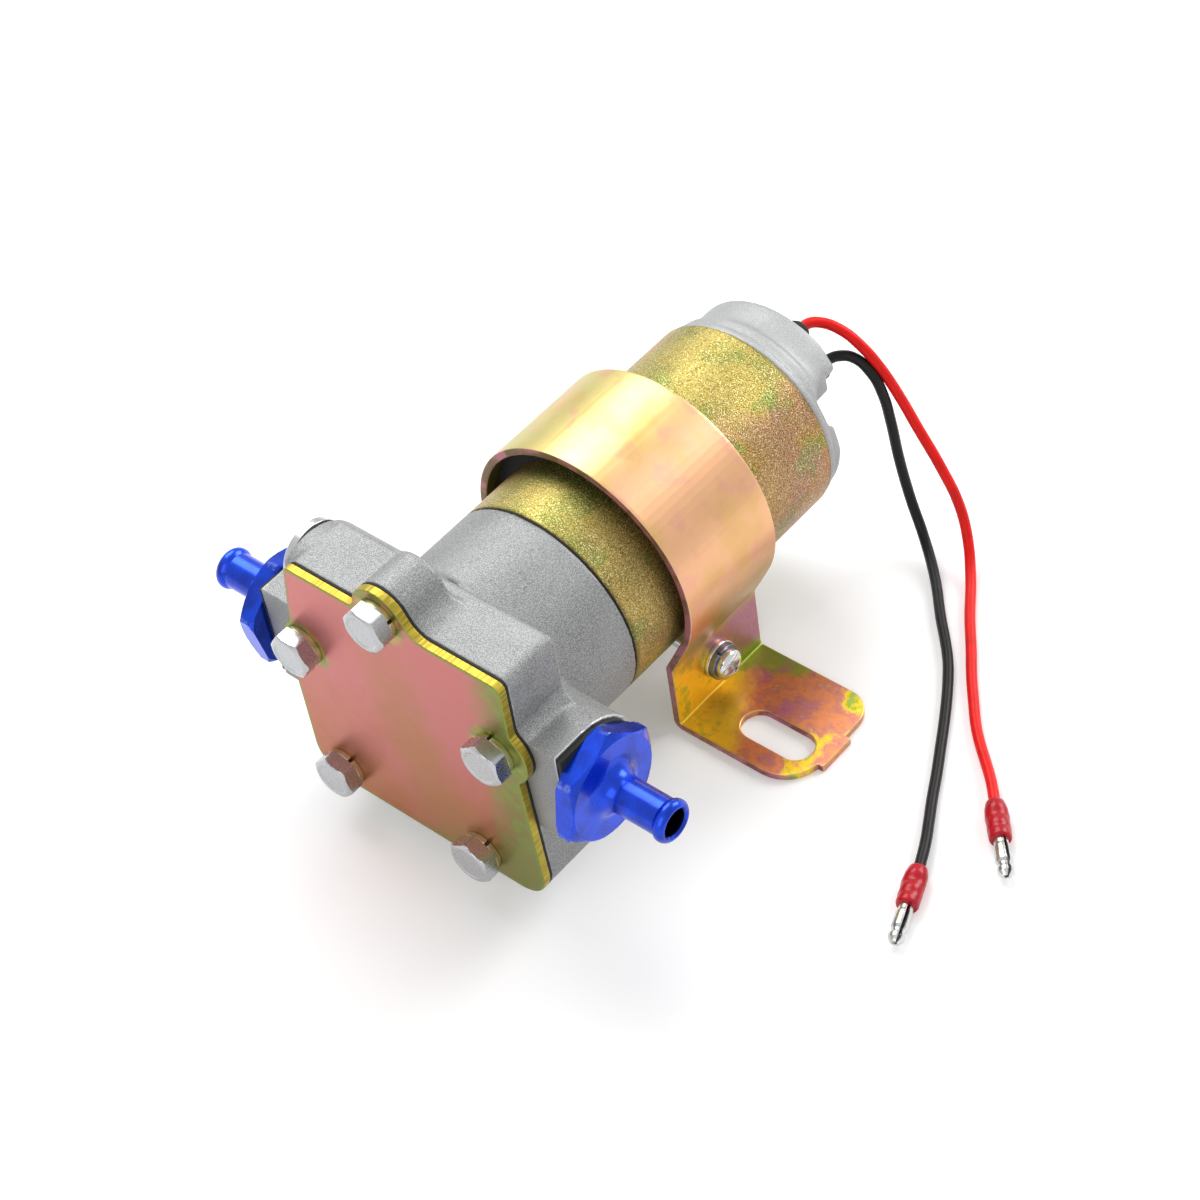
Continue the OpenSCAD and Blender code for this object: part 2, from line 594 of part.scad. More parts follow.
module cam_ring() {
  color([0.55, 0.56, 0.58]) on_axis() difference() {
    along_y(chamber_d / 2 - seat, head_y0 - gasket_t + running, chamber_y1 - running);
    translate([0, 0, cam_offset]) along_y(rotor_d / 2 + cam_offset + 0.2, head_y0 - 2, chamber_y1 + overlap);
    translate([0, port_y, port_up]) along_x(passage_r, -chamber_d, chamber_d);
    translate([-relief_seat_x - drilling_r, relief_y, port_up]) cylinder(h = chamber_d, r = drilling_r);
  }
}
vane_t = 3;
vane_gap = 0.05;
vane_inner = 6.3;
module pump_rotor() {
  color([0.5, 0.5, 0.52]) on_axis() difference() {
    along_y(rotor_d / 2, head_y0 - 0.3, chamber_y1 - 0.4);
    along_y(shaft_r + bush_gap, head_y0 - overlap, chamber_y1);
    for (i = [0:vane_count - 1]) rotate([0, 45 + 360 * i / vane_count, 0])
      translate([vane_inner - 0.2, head_y0 - overlap, -vane_t / 2 - vane_gap])
        cube([rotor_d, chamber_len + overlap, vane_t + 2 * vane_gap]);
    translate([0, head_y0 - overlap, shaft_r - 1]) cube([1, chamber_len + overlap, 2.2]);
  }
}
module rotor_vanes() {
  color([0.2, 0.18, 0.17]) on_axis() for (i = [0:vane_count - 1]) rotate([0, 45 + 360 * i / vane_count, 0])
    translate([vane_inner, head_y0 - 0.2, -vane_t / 2])
      cube([rotor_d / 2 - vane_inner - 0.1, chamber_len - 0.3, vane_t]);
}
module rotor_key() {
  color([0.6, 0.6, 0.62]) on_axis() translate([0.05, head_y0 + 2, shaft_r - 0.9])
    cube([0.9, chamber_len - 4, 1.9]);
}
module shaft_seal() {
  color([0.1, 0.1, 0.1]) on_axis() tube_y(bush_r + 2 - seat, shaft_r + running, chamber_y1 + 0.3, seal_y1 - 0.1);
}
module front_bush() {
  color([0.7, 0.5, 0.28]) on_axis() tube_y(bush_r - bush_gap, shaft_r + running, seal_y1 + 0.1, hub_y1);
}
module armature_shaft() {
  tail = bell_bush_y0 + bell_bush_len - 0.6;
  color([0.72, 0.73, 0.75]) on_axis() difference() {
    union() {
      along_y(shaft_r, head_y0 + 0.4, tail - 1.4);
      translate([0, tail - 1.5, 0]) rotate([-90, 0, 0]) cylinder(h = 1.5, r1 = shaft_r, r2 = shaft_r - 0.6);
    }
    translate([0, head_y0, shaft_r - 1]) cube([1, chamber_len - 1, 2]);
  }
}
module armature_core() {
  color([0.35, 0.36, 0.38]) on_axis() difference() {
    along_y(core_d / 2, core_y0, core_y1);
    along_y(shaft_r + bush_gap, core_y0 - overlap, core_y1 + overlap);
    for (i = [0:core_slots - 1]) rotate([0, 360 * (i + 0.5) / core_slots, 0]) translate([winding_circle_r, 0, 0]) {
      along_y(winding_slot_r, core_y0 - overlap, core_y1 + overlap);
      translate([0, core_y0 - overlap, -0.6]) cube([core_d, core_len + 2 * overlap, 1.2]);
    }
  }
}
module armature_winding() {
  inner = shaft_r + 3.5;
  outer = winding_circle_r + winding_bar_r;
  color([0.72, 0.36, 0.15]) on_axis() {
    for (y = [core_y0 - winding_end, core_y1 + seat]) translate([0, y, 0]) rotate([-90, 0, 0]) rotate_extrude()
      polygon(rounded([[inner, 0, 2], [outer, 0, 2], [outer, winding_end - seat, 2], [inner, winding_end - seat, 2]], 4));
    for (i = [0:core_slots - 1]) rotate([0, 360 * (i + 0.5) / core_slots, 0])
      translate([winding_circle_r, 0, 0]) along_y(winding_bar_r, core_y0 - 3, core_y1 + 3);
  }
}
module commutator() {
  y1 = commutator_y0 + commutator_len;
  color([0.75, 0.42, 0.2]) on_axis() difference() {
    along_y(commutator_d / 2, commutator_y0, y1);
    along_y(shaft_r + bush_gap, commutator_y0 - overlap, y1 + overlap);
    for (i = [0:core_slots - 1]) rotate([0, 360 * i / core_slots, 0])
      translate([commutator_d / 2 - 0.8, commutator_y0 - overlap, -0.3]) cube([2, commutator_len + 2 * overlap, 0.6]);
  }
}

module motor_case() {
  color([0.7, 0.66, 0.3]) on_axis() tube_y(case_r, case_bore_r, case_y0 + seam_t, case_y1);
}
module case_gasket() {
  color([0.08, 0.07, 0.05]) on_axis() tube_y(case_r - 0.3, spigot_r + 0.1, case_y0, case_y0 + seam_t);
}
module field_magnets() {
  spread = 58;
  color([0.25, 0.24, 0.25]) on_axis() for (s = [90, 270]) rotate([0, -tie_angle - s, 0])
    slab_y(magnet_y0, magnet_y0 + magnet_len)
      polygon(concat(arc(case_bore_r - seat, -spread, spread, 32), arc(magnet_bore_d / 2, spread, -spread, 32)));
}

function boss_outline(inset) =
  // The wire housing: a disc cut straight across under the wires, with round corners
  let(r = boss_r - inset, f = boss_corner_r - inset, z = boss_low + inset + f,
    x = sqrt(pow(r - f, 2) - pow(z, 2)), a = atan2(z, x))
  concat([for (p = arc(f, -90, a, 8)) [x, z] + p], arc(r, a + 3, 177 - a, 24),
    [for (p = arc(f, 180 - a, 270, 8)) [-x, z] + p]);
module end_bell() {
  color([0.72, 0.72, 0.73]) on_axis() difference() {
    union() {
      along_y(flange_r, case_y1, case_y1 + flange_t);
      along_y(spigot_r, case_y1 - spigot_len, case_y1 + overlap);
      along_y(step_r, case_y1 + overlap, step_y);
      slab_y(case_y1 + overlap, boss_y) polygon(boss_outline(0));
      along_y(hub_r, case_y1 + overlap, bell_bush_y0 + bell_bush_len + bell_wall);
    }
    along_y(spigot_bore_r, case_y1 - spigot_len - overlap, case_y1);
    difference() {
      union() {
        along_y(bell_bore_r, case_y1 - overlap, step_y - bell_wall);
        slab_y(case_y1 + overlap, boss_y - bell_wall) polygon(boss_outline(bell_wall));
      }
      along_y(hub_r, case_y1, boss_y);
      at_pockets() along_y(pocket_r + pocket_wall, case_y1 - 2 * overlap, boss_y);
    }
    along_y(bush_r, case_y1 - overlap, bell_bush_y0 + bell_bush_len);
    at_tie_bolts() along_y(tie_d / 2 + 0.1, case_y1 - spigot_len - overlap, pocket_y);
    at_tie_bolts() along_y(tie_head_r + 0.3, tie_head_y, pocket_y + overlap);
    at_pockets() along_y(pocket_r, pocket_y, boss_y + overlap);
    for (p = [red_exit, black_exit]) translate([p[0], 0, p[1]]) along_y(grommet_hole_r, boss_y - 2 * bell_wall, boss_y + overlap);
  }
}
module rear_bush() {
  color([0.7, 0.5, 0.28]) on_axis()
    tube_y(bush_r - bush_gap, shaft_r + running, bell_bush_y0, bell_bush_y0 + bell_bush_len - 0.6);
}
module thrust_ball() {
  color([0.8, 0.8, 0.82]) on_axis() translate([0, bell_bush_y0 + bell_bush_len - 0.35, 0]) rotate([-90, 0, 0])
    cylinder(h = 0.3, r = ball_r);
}
module motor_tie_bolts() {
  head_y = tie_head_y;
  color([0.8, 0.81, 0.83]) on_axis() at_tie_bolts() {
    along_y(tie_d / 2, tie_y0, head_y + overlap);
    difference() {
      along_y(tie_head_r, head_y, head_y + tie_head_t);
      translate([-tie_d, head_y + tie_head_t - 1, -0.4]) cube([2 * tie_d, 2, 0.8]);
    }
  }
}
module brush_plate() {
  color([0.35, 0.2, 0.12]) on_axis() difference() {
    along_y(plate_r, plate_y0, plate_y1);
    along_y(commutator_d / 2 + 1.5, plate_y0 - overlap, plate_y1 + overlap);
    at_tie_bolts() along_y(tie_d / 2 + 0.3, plate_y0 - overlap, plate_y1 + overlap);
  }
}
module brush_holders() {
  wide = brush_w / 2 + holder_gap + holder_wall;
  high = holder_high;
  color([0.78, 0.62, 0.3]) on_axis() for (s = [0, 1]) mirror([s, 0, 0]) difference() {
    translate([holder_x0, brush_y - wide, -high]) cube([holder_x1 - holder_x0, plate_y0 - brush_y + wide, 2 * high]);
    translate([holder_x0 - overlap, brush_y - brush_w / 2 - holder_gap, -brush_h / 2 - holder_gap])
      cube([holder_x1 - holder_x0 + overlap - holder_wall, brush_w + 2 * holder_gap, brush_h + 2 * holder_gap]);
  }
}
module brush() {
  color([0.15, 0.15, 0.16]) on_axis() difference() {
    translate([brush_x0 - 0.3, brush_y - brush_w / 2, -brush_h / 2]) cube([brush_len + 0.3, brush_w, brush_h]);
    along_y(commutator_d / 2 + 0.3, brush_y - brush_w, brush_y + brush_w);
  }
}
module brush_a() { brush(); }
module brush_b() { mirror([1, 0, 0]) brush(); }
module brush_spring() {
  from = brush_x0 + brush_len + seat;
  to = holder_x1 - holder_wall - seat;
  color([0.6, 0.62, 0.65]) on_axis() translate([from, brush_y, 0]) rotate([0, 90, 0])
    coil(to - from, 1.9, brush_wire_r, brush_turns);
}
module brush_spring_a() { brush_spring(); }
module brush_spring_b() { mirror([1, 0, 0]) brush_spring(); }
module brush_leads() {
  color([0.75, 0.1, 0.1]) on_axis() for (p = [red_exit, black_exit]) translate([p[0], 0, p[1]])
    along_y(wire_r, plate_y1, exit_y);
}
module wire_grommets() {
  y0 = boss_y - bell_wall;
  color([0.05, 0.05, 0.05]) on_axis() for (p = [red_exit, black_exit]) translate([p[0], 0, p[1]]) difference() {
    union() {
      along_y(grommet_hole_r - 0.05, y0 - 0.5, boss_y + 0.5);
      along_y(grommet_r, boss_y, boss_y + 1.2);
      translate([0, boss_y + 1.2, 0]) rotate([-90, 0, 0]) cylinder(h = grommet_nose - 1.2, r1 = grommet_r, r2 = grommet_r - 0.7);
    }
    along_y(wire_r + 0.03, y0 - overlap, exit_y + overlap);
  }
}

// Bracket profile in x and z: hoop, straight run to the crease, leg and foot
module strap_half() {
  tangent_dir = [-sin(crease_angle), -cos(crease_angle)];
  normal_dir = [cos(crease_angle), -sin(crease_angle)];
  hoop_mid = [0, hoop_z];
  out_a = hoop_mid + hoop_out_r * normal_dir;
  in_a = hoop_mid + hoop_r * normal_dir;
  out_c = [leg_x, crease_z];
  in_c = [leg_x - strap_t, crease_z + strap_t * tan(crease_angle / 2)];
  polygon([out_a, in_a, in_c, out_c]);
  leg_foot = strap_t + foot_bend_r;
  polygon([out_c, in_c, [leg_x - strap_t, leg_foot], [leg_x, leg_foot]]);
  difference() {
    translate([leg_x + foot_bend_r, leg_foot]) circle(foot_bend_r + strap_t);
    translate([leg_x + foot_bend_r, leg_foot]) circle(foot_bend_r);
    translate([leg_x + foot_bend_r, -overlap]) square(4 * leg_foot);
    translate([leg_x - 2 * leg_foot, leg_foot]) square(4 * leg_foot);
  }
}
module strap_profile() {
  edge = 2 * hoop_out_r;
  difference() {
    translate([0, hoop_z]) circle(hoop_out_r, $fn = 128);
    translate([0, hoop_z]) circle(hoop_r, $fn = 128);
    polygon([[0, hoop_z], [edge * cos(crease_angle), hoop_z - edge * sin(crease_angle)], [edge, -edge],
      [-edge, -edge], [-edge * cos(crease_angle), hoop_z - edge * sin(crease_angle)]]);
  }
  strap_half();
  mirror([1, 0]) strap_half();
}
module foot() {
  x0 = leg_x + foot_bend_r;
  linear_extrude(strap_t) difference() {
    union() {
      polygon(rounded([[x0, strap_y0, 0], [foot_end_x, strap_y0, foot_front_r], [foot_end_x, strap_y1, foot_rear_r],
        [x0, strap_y1, 0]]));
      polygon(rounded([[foot_end_x - tab_w / 2, -tab_w / 2 + 3.6, 0], [foot_end_x + tab_len, -tab_w / 2 + 3.6, 0.6],
        [foot_end_x + tab_len, tab_w / 2 + 3.6, 0.6], [foot_end_x - tab_w / 2, tab_w / 2 + 3.6, 0]], 3));
    }
    for (s = [-1, 1]) translate([slot_spacing / 2 + s * (slot_len - slot_w) / 2, 0]) circle(slot_w / 2);
    translate([slot_spacing / 2 - (slot_len - slot_w) / 2, -slot_w / 2]) square([slot_len - slot_w, slot_w]);
  }
}
module strap_bracket() {
  color([0.85, 0.68, 0.38]) difference() {
    union() {
      slab_y(strap_y0, strap_y1) strap_profile();
      foot();
      mirror([1, 0, 0]) foot();
    }
    translate([0, clamp_y, clamp_z]) along_x(clamp_d / 2 + 0.3, -leg_x - overlap, leg_x + overlap);
  }
}
module strap_liner() {
  // Rubber between case and strap, thick at the top where the case sits low in the hoop
  color([0.04, 0.04, 0.04]) slab_y(strap_y0 + liner_set_back, strap_y1 - liner_set_back) difference() {
    translate([0, hoop_z]) circle(hoop_r - liner_gap, $fn = 128);
    translate([0, axis_h]) circle(case_r + liner_gap);
    translate([-case_d, -case_d]) square([2 * case_d, case_d + hoop_z - hoop_r * sin(crease_angle)]);
  }
}
clamp_head_x = leg_x + clamp_flat_t + clamp_spring_t;
module at_clamp() { translate([0, clamp_y, clamp_z]) children(); }
module clamp_screw() {
  dome_r = 8;
  color([0.85, 0.85, 0.86]) at_clamp() difference() {
    union() {
      along_x(clamp_d / 2, -leg_x - clamp_nut_t - 2, clamp_head_x + overlap);
      turned_x(concat([[0, clamp_head_x], [clamp_head_r, clamp_head_x], [clamp_head_r, clamp_head_x + 1.2]],
        [for (i = [1:6]) [clamp_head_r * cos(90 * i / 6), clamp_head_x + 1.2 + (clamp_head_t - 1.2) * sin(90 * i / 6)]]));
    }
    for (a = [20, 110]) rotate([a, 0, 0]) translate([clamp_head_x + 1.4, -clamp_head_r * 0.55, -0.5])
      cube([clamp_head_t, clamp_head_r * 1.1, 1]);
  }
}
module clamp_spring_washer() {
  color([0.75, 0.75, 0.76]) at_clamp() rotate([0, 0, -90])
    split_washer(clamp_flat_r - 0.3, clamp_d / 2 + 0.1, leg_x + clamp_flat_t, clamp_head_x, 70);
}
module clamp_flat_washer() {
  color([0.85, 0.85, 0.86]) at_clamp() difference() {
    along_x(clamp_flat_r, leg_x, leg_x + clamp_flat_t);
    along_x(clamp_d / 2 + 0.1, leg_x - overlap, leg_x + clamp_flat_t + overlap);
  }
}
module clamp_nut() {
  color([0.8, 0.8, 0.82]) at_clamp() difference() {
    translate([-leg_x - clamp_nut_t, 0, 0]) rotate([90, 0, 90]) linear_extrude(clamp_nut_t) polygon(hex_points(clamp_nut_af));
    along_x(clamp_d / 2 + 0.02, -leg_x - clamp_nut_t - overlap, -leg_x + overlap);
  }
}

// Wires and their terminals, which lie on the floor
module red_wire() { color([0.85, 0.08, 0.08]) swept(red_route, wire_r, 8, [0, 1, 0]); }
module black_wire() { color([0.06, 0.06, 0.07]) swept(black_route, wire_r, 8, [0, 1, 0]); }
module at_terminal(route, lay) {
  translate(route[len(route) - 1]) rotate([0, 0, atan2(lay[1], lay[0])]) children();
}
module sleeve() {
  r = sleeve_d / 2;
  turned_x(rounded([[0, 0, 0], [r - 0.5, 0, 0.4], [r, sleeve_len * 0.4, 4], [r, sleeve_len, 0.3], [0, sleeve_len, 0]], 4));
}
module bullet() {
  r = bullet_d / 2;
  turned_x(rounded([[0, sleeve_len, 0], [r - 0.3, sleeve_len, 0], [r - 0.3, sleeve_len + 2, 0.3],
    [r, sleeve_len + 3.2, 0.5], [r, sleeve_len + bullet_len - 3.6, 0.5], [r - 0.5, sleeve_len + bullet_len - 2.8, 0.5],
    [r - 0.1, sleeve_len + bullet_len, 1.4], [0, sleeve_len + bullet_len, 0]], 4));
}
module red_sleeve() { color([0.7, 0.05, 0.12]) at_terminal(red_route, red_lay) sleeve(); }
module black_sleeve() { color([0.7, 0.05, 0.12]) at_terminal(black_route, black_lay) sleeve(); }
module red_bullet() { color([0.85, 0.85, 0.85]) at_terminal(red_route, red_lay) bullet(); }
module black_bullet() { color([0.85, 0.85, 0.85]) at_terminal(black_route, black_lay) bullet(); }

cover_plate();
cover_gasket();
cover_bolts();
cover_lock_washers();
pump_head();
relief_cap();
relief_cap_gasket();
relief_piston();
relief_spring();
inlet_fitting();
outlet_fitting();
port_seals();
cam_ring();
pump_rotor();
rotor_vanes();
rotor_key();
shaft_seal();
front_bush();
armature_shaft();
armature_core();
armature_winding();
commutator();
motor_case();
case_gasket();
field_magnets();
end_bell();
rear_bush();
thrust_ball();
brush_plate();
brush_holders();
brush_a();
brush_b();
brush_spring_a();
brush_spring_b();
brush_leads();
motor_tie_bolts();
strap_bracket();
strap_liner();
clamp_screw();
clamp_spring_washer();
clamp_flat_washer();
clamp_nut();
wire_grommets();
red_wire();
black_wire();
red_sleeve();
black_sleeve();
red_bullet();
black_bullet();
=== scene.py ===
import json
import math
import bmesh
import bpy
from mathutils import Matrix, Vector
from mathutils.kdtree import KDTree


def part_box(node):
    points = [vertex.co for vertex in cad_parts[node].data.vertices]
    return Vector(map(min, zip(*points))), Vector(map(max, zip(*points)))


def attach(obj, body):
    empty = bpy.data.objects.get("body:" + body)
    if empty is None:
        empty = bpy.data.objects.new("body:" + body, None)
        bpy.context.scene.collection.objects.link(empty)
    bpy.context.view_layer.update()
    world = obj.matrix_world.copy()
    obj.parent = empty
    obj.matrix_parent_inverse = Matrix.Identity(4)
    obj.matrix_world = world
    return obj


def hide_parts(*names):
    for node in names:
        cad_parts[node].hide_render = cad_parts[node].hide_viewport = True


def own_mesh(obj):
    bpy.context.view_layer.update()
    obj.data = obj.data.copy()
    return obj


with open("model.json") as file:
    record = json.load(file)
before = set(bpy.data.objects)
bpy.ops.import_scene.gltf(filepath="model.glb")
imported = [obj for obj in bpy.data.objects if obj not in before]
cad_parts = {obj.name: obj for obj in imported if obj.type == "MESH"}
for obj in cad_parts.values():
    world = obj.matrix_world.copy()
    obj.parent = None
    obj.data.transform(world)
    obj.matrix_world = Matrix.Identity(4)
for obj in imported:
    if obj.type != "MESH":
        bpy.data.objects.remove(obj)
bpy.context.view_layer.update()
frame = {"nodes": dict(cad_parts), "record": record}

nodes = frame["nodes"]
mm = 0.001
record = frame["record"]
bodyOf = {node: body for body, members in record["behaviour"]["bodies"].items() for node in members}
slotOf = {part["node"]: part["material_slot"] for part in record["subparts"]}
print("frame:", len(nodes), "nodes")

# the camera stands at the photograph's angle; its place is in millimetres
camera = {"place": (355.79, -333.51, 537.06), "right": (0.7586, 0.6404, -0.1204),
          "up": (-0.4084, 0.6112, 0.6779), "back": (0.5077, -0.4651, 0.7252), "lens": 89.56,
          "sensor": 36, "nearest": 0.01, "farthest": 20}


def placeCamera(v):
    data = bpy.data.cameras.new("camera")
    data.lens, data.sensor_width = v["lens"], v["sensor"]
    data.clip_start, data.clip_end = v["nearest"], v["farthest"]
    holder = bpy.data.objects.new("camera", data)
    facing = Matrix((v["right"], v["up"], v["back"])).transposed().to_quaternion()
    holder.matrix_world = Matrix.LocRotScale(Vector(v["place"]) * mm, facing, None)
    bpy.context.scene.collection.objects.link(holder)
    bpy.context.scene.camera = holder


placeCamera(camera)


class Signal:
    # a socket of one finish; arithmetic on it adds Math nodes
    def __init__(self, finish, socket):
        self.finish, self.socket = finish, socket

    def math(self, operation, *values, **settings):
        settings["operation"] = operation
        return self.finish.node("Math", settings, dict(enumerate(values)))

    def __add__(self, other):
        return self.math("ADD", self, other)

    def __sub__(self, other):
        return self.math("SUBTRACT", self, other)

    def __rsub__(self, other):
        return self.math("SUBTRACT", other, self)

    def __mul__(self, other):
        return self.math("MULTIPLY", self, other)

    def __pow__(self, other):
        return self.math("POWER", self, other)

    def __abs__(self):
        return self.math("ABSOLUTE", self)

    def clamped(self):
        return self.math("ADD", self, 0, use_clamp=True)

    def larger(self, other):
        return self.math("MAXIMUM", self, other)

    def smaller(self, other):
        return self.math("MINIMUM", self, other)

    def between(self, low, high):
        # 0 below low, 1 above high, smooth in between; low above high turns it round
        smooth = {"interpolation_type": "SMOOTHSTEP"}
        return self.finish.node("MapRange", smooth, {0: self, 1: low, 2: high})


def tint(text):
    # colour from a hexadecimal sRGB text, as linear values
    parts = [int(text[i:i + 2], 16) / 255 for i in (0, 2, 4)]
    return tuple(p / 12.92 if p <= 0.04045 else ((p + 0.055) / 1.055) ** 2.4 for p in parts) + (1,)


def darkened(colour, share):
    return tuple(part * share for part in colour[:3]) + (1,)


class Finish:
    # a material with one Principled shader, and the nodes that feed it
    def __init__(self, name, **values):
        self.material = bpy.data.materials.new(name)
        self.material.use_nodes = True
        self.tree = self.material.node_tree
        self.tree.nodes.clear()
        self.shader = self.tree.nodes.new("ShaderNodeBsdfPrincipled")
        output = self.tree.nodes.new("ShaderNodeOutputMaterial")
        self.tree.links.new(self.shader.outputs[0], output.inputs[0])
        self.parts = {}
        self.set(**values)

    def node(self, kind, settings=None, inputs=None, output=0):
        made = self.tree.nodes.new("ShaderNode" + kind)
        for key, value in (settings or {}).items():
            if key == "stops":
                ramp = made.color_ramp
                while len(ramp.elements) < len(value):
                    ramp.elements.new(1)
                for element, (place, colour) in zip(ramp.elements, value):
                    element.position, element.color = place, colour
            else:
                setattr(made, key, value)
        for key, value in (inputs or {}).items():
            self.feed(made.inputs[key], value)
        return Signal(self, made.outputs[output])

    def feed(self, socket, value):
        if isinstance(value, Signal):
            self.tree.links.new(value.socket, socket)
        else:
            socket.default_value = value

    def set(self, **values):
        # roughness=..., base_color=...: words of the shader's socket names
        for key, value in values.items():
            socket = key.replace("_", " ").title().replace("Ior", "IOR")
            self.feed(self.shader.inputs[socket], value)

    def place(self, size=1.0, stretch=(1, 1, 1), move=(0, 0, 0)):
        # object coordinates in millimetres over size
        key = ("place", size, stretch, move)
        if key not in self.parts:
            raw = self.node("TexCoord", None, None, "Object")
            scale = tuple(s / mm / size for s in stretch)
            steps = {"operation": "MULTIPLY_ADD"}
            self.parts[key] = self.node("VectorMath", steps, {0: raw, 1: scale, 2: move})
        return self.parts[key]

    def axis(self, letter):
        if "axes" not in self.parts:
            self.parts["axes"] = self.node("SeparateXYZ", None, {0: self.place()}).socket.node
        return Signal(self, self.parts["axes"].outputs["xyz".index(letter)])

    def noise(self, size, detail=3.0, rough=0.5, stretch=(1, 1, 1), move=(0, 0, 0), twist=0.0):
        # size in millimetres
        return self.node("TexNoise", None, {
            "Vector": self.place(size, stretch, move), "Scale": 1.0, "Detail": detail, "Roughness": rough,
            "Distortion": twist})

    def measure(self, name):
        # a value kept on the mesh's points, in millimetres
        if name not in self.parts:
            self.parts[name] = self.node("Attribute", {"attribute_name": name}, None, "Fac")
        return self.parts[name]

    def facing(self, output):
        # how far the bare surface faces along an axis, whichever way
        normal = self.node("NewGeometry", None, None, "Normal")
        return abs(self.node("SeparateXYZ", None, {0: normal}, output))

    def mix(self, share, first, second):
        return self.node("Mix", {"data_type": "RGBA"}, {0: share, 6: first, 7: second}, 2)

    def ramp(self, signal, *stops):
        return self.node("ValToRGB", {"stops": stops}, {0: signal})

    def relief(self, height, depth, strength=1.0, over=None):
        # height from 0 to 1 over depth millimetres, on top of another relief
        inputs = {"Height": height, "Distance": depth * mm, "Strength": strength}
        if over is not None:
            inputs["Normal"] = over
        return self.node("Bump", None, inputs)


# making pieces: mesh helpers first, then one function for each way to make a piece
def linkTemporary(mesh):
    holder = bpy.data.objects.new("temporary", mesh)
    bpy.context.scene.collection.objects.link(holder)
    return holder


def applied(holder, name):
    # the holder's mesh with its modifiers worked in; the holder goes
    bpy.context.view_layer.update()
    graph = bpy.context.evaluated_depsgraph_get()
    mesh = bpy.data.meshes.new_from_object(holder.evaluated_get(graph))
    mesh.name = name
    old = holder.data
    bpy.data.objects.remove(holder)
    bpy.data.meshes.remove(old)
    return mesh


def meshOf(shape, name):
    # the edited shape as a mesh; the shape goes
    mesh = bpy.data.meshes.new(name)
    shape.to_mesh(mesh)
    shape.free()
    return mesh


def joined(parts, name):
    shape = bmesh.new()
    for part in parts:
        shape.from_mesh(part)
        bpy.data.meshes.remove(part)
    return meshOf(shape, name)


def welded(node):
    # the node's solids with their double points joined
    nearest = 0.002 * mm
    shape = bmesh.new()
    shape.from_mesh(nodes[node].data)
    bmesh.ops.remove_doubles(shape, verts=shape.verts, dist=nearest)
    bmesh.ops.dissolve_degenerate(shape, edges=shape.edges, dist=nearest)
    return shape


def sharpPoints(shape, angle):
    # points, under 0.4 mm apart, along the outward edges that turn by more than the angle
    spacing = 0.4 * mm
    points = []
    for edge in shape.edges:
        if len(edge.link_faces) == 2 and edge.is_convex and edge.calc_face_angle(0) > math.radians(angle):
            first, last = edge.verts[0].co, edge.verts[1].co
            steps = max(1, int((last - first).length / spacing))
            points += [first.lerp(last, k / steps) for k in range(steps + 1)]
    return points


def keepDistance(mesh, name, points, most=12.0):
    # each vertex keeps its distance to the nearest of the points, in millimetres
    tree = KDTree(len(points))
    for k, point in enumerate(points):
        tree.insert(point, k)
    tree.balance()
    layer = mesh.attributes.new(name, "FLOAT", "POINT")
    values = [min(most, tree.find(vertex.co)[2] / mm) for vertex in mesh.vertices]
    layer.data.foreach_set("value", values)


def shaded(mesh, angle=35):
    # smooth, with edges over the angle left sharp
    for face in mesh.polygons:
        face.use_smooth = True
    mesh.set_sharp_from_angle(angle=math.radians(angle))
    holder = linkTemporary(mesh)
    weigh = holder.modifiers.new("weigh", "WEIGHTED_NORMAL")
    weigh.keep_sharp = True
    return applied(holder, mesh.name)


def gridCut(shape, axis, step):
    # cuts right through the shape at even steps along an axis
    normal = Vector([float(letter == axis) for letter in "xyz"])
    reach = [vertex.co @ normal for vertex in shape.verts]
    low, high = min(reach), max(reach)
    count = int((high - low) / (step * mm))
    for k in range(1, count + 1):
        at = normal * (low + (high - low) * (k - 0.5) / count)
        everything = shape.verts[:] + shape.edges[:] + shape.faces[:]
        bmesh.ops.bisect_plane(shape, geom=everything, dist=1e-7, plane_co=at, plane_no=normal)


def roundOut(shape, radii, height):
    # new points between the facets of a curve about an axis along y, at the height, move out to
    # its true radius; only above the legs
    chord, legs = 0.06, 0.6
    for vertex in shape.verts:
        reach = math.hypot(vertex.co.x, vertex.co.z - height * mm) / mm
        for radius in radii:
            if 0 < radius - reach < chord and vertex.co.z > height * mm * legs:
                vertex.co.x *= radius / reach
                vertex.co.z = height * mm + (vertex.co.z - height * mm) * radius / reach


def addPiece(name, mesh, node):
    # a visible piece that stands for one node
    piece = bpy.data.objects.new(name, mesh)
    bpy.context.scene.collection.objects.link(piece)
    mesh.materials.clear()
    mesh.materials.append(finishes[slotOf[node]].material)
    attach(piece, bodyOf[node])
    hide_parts(node)
    return piece


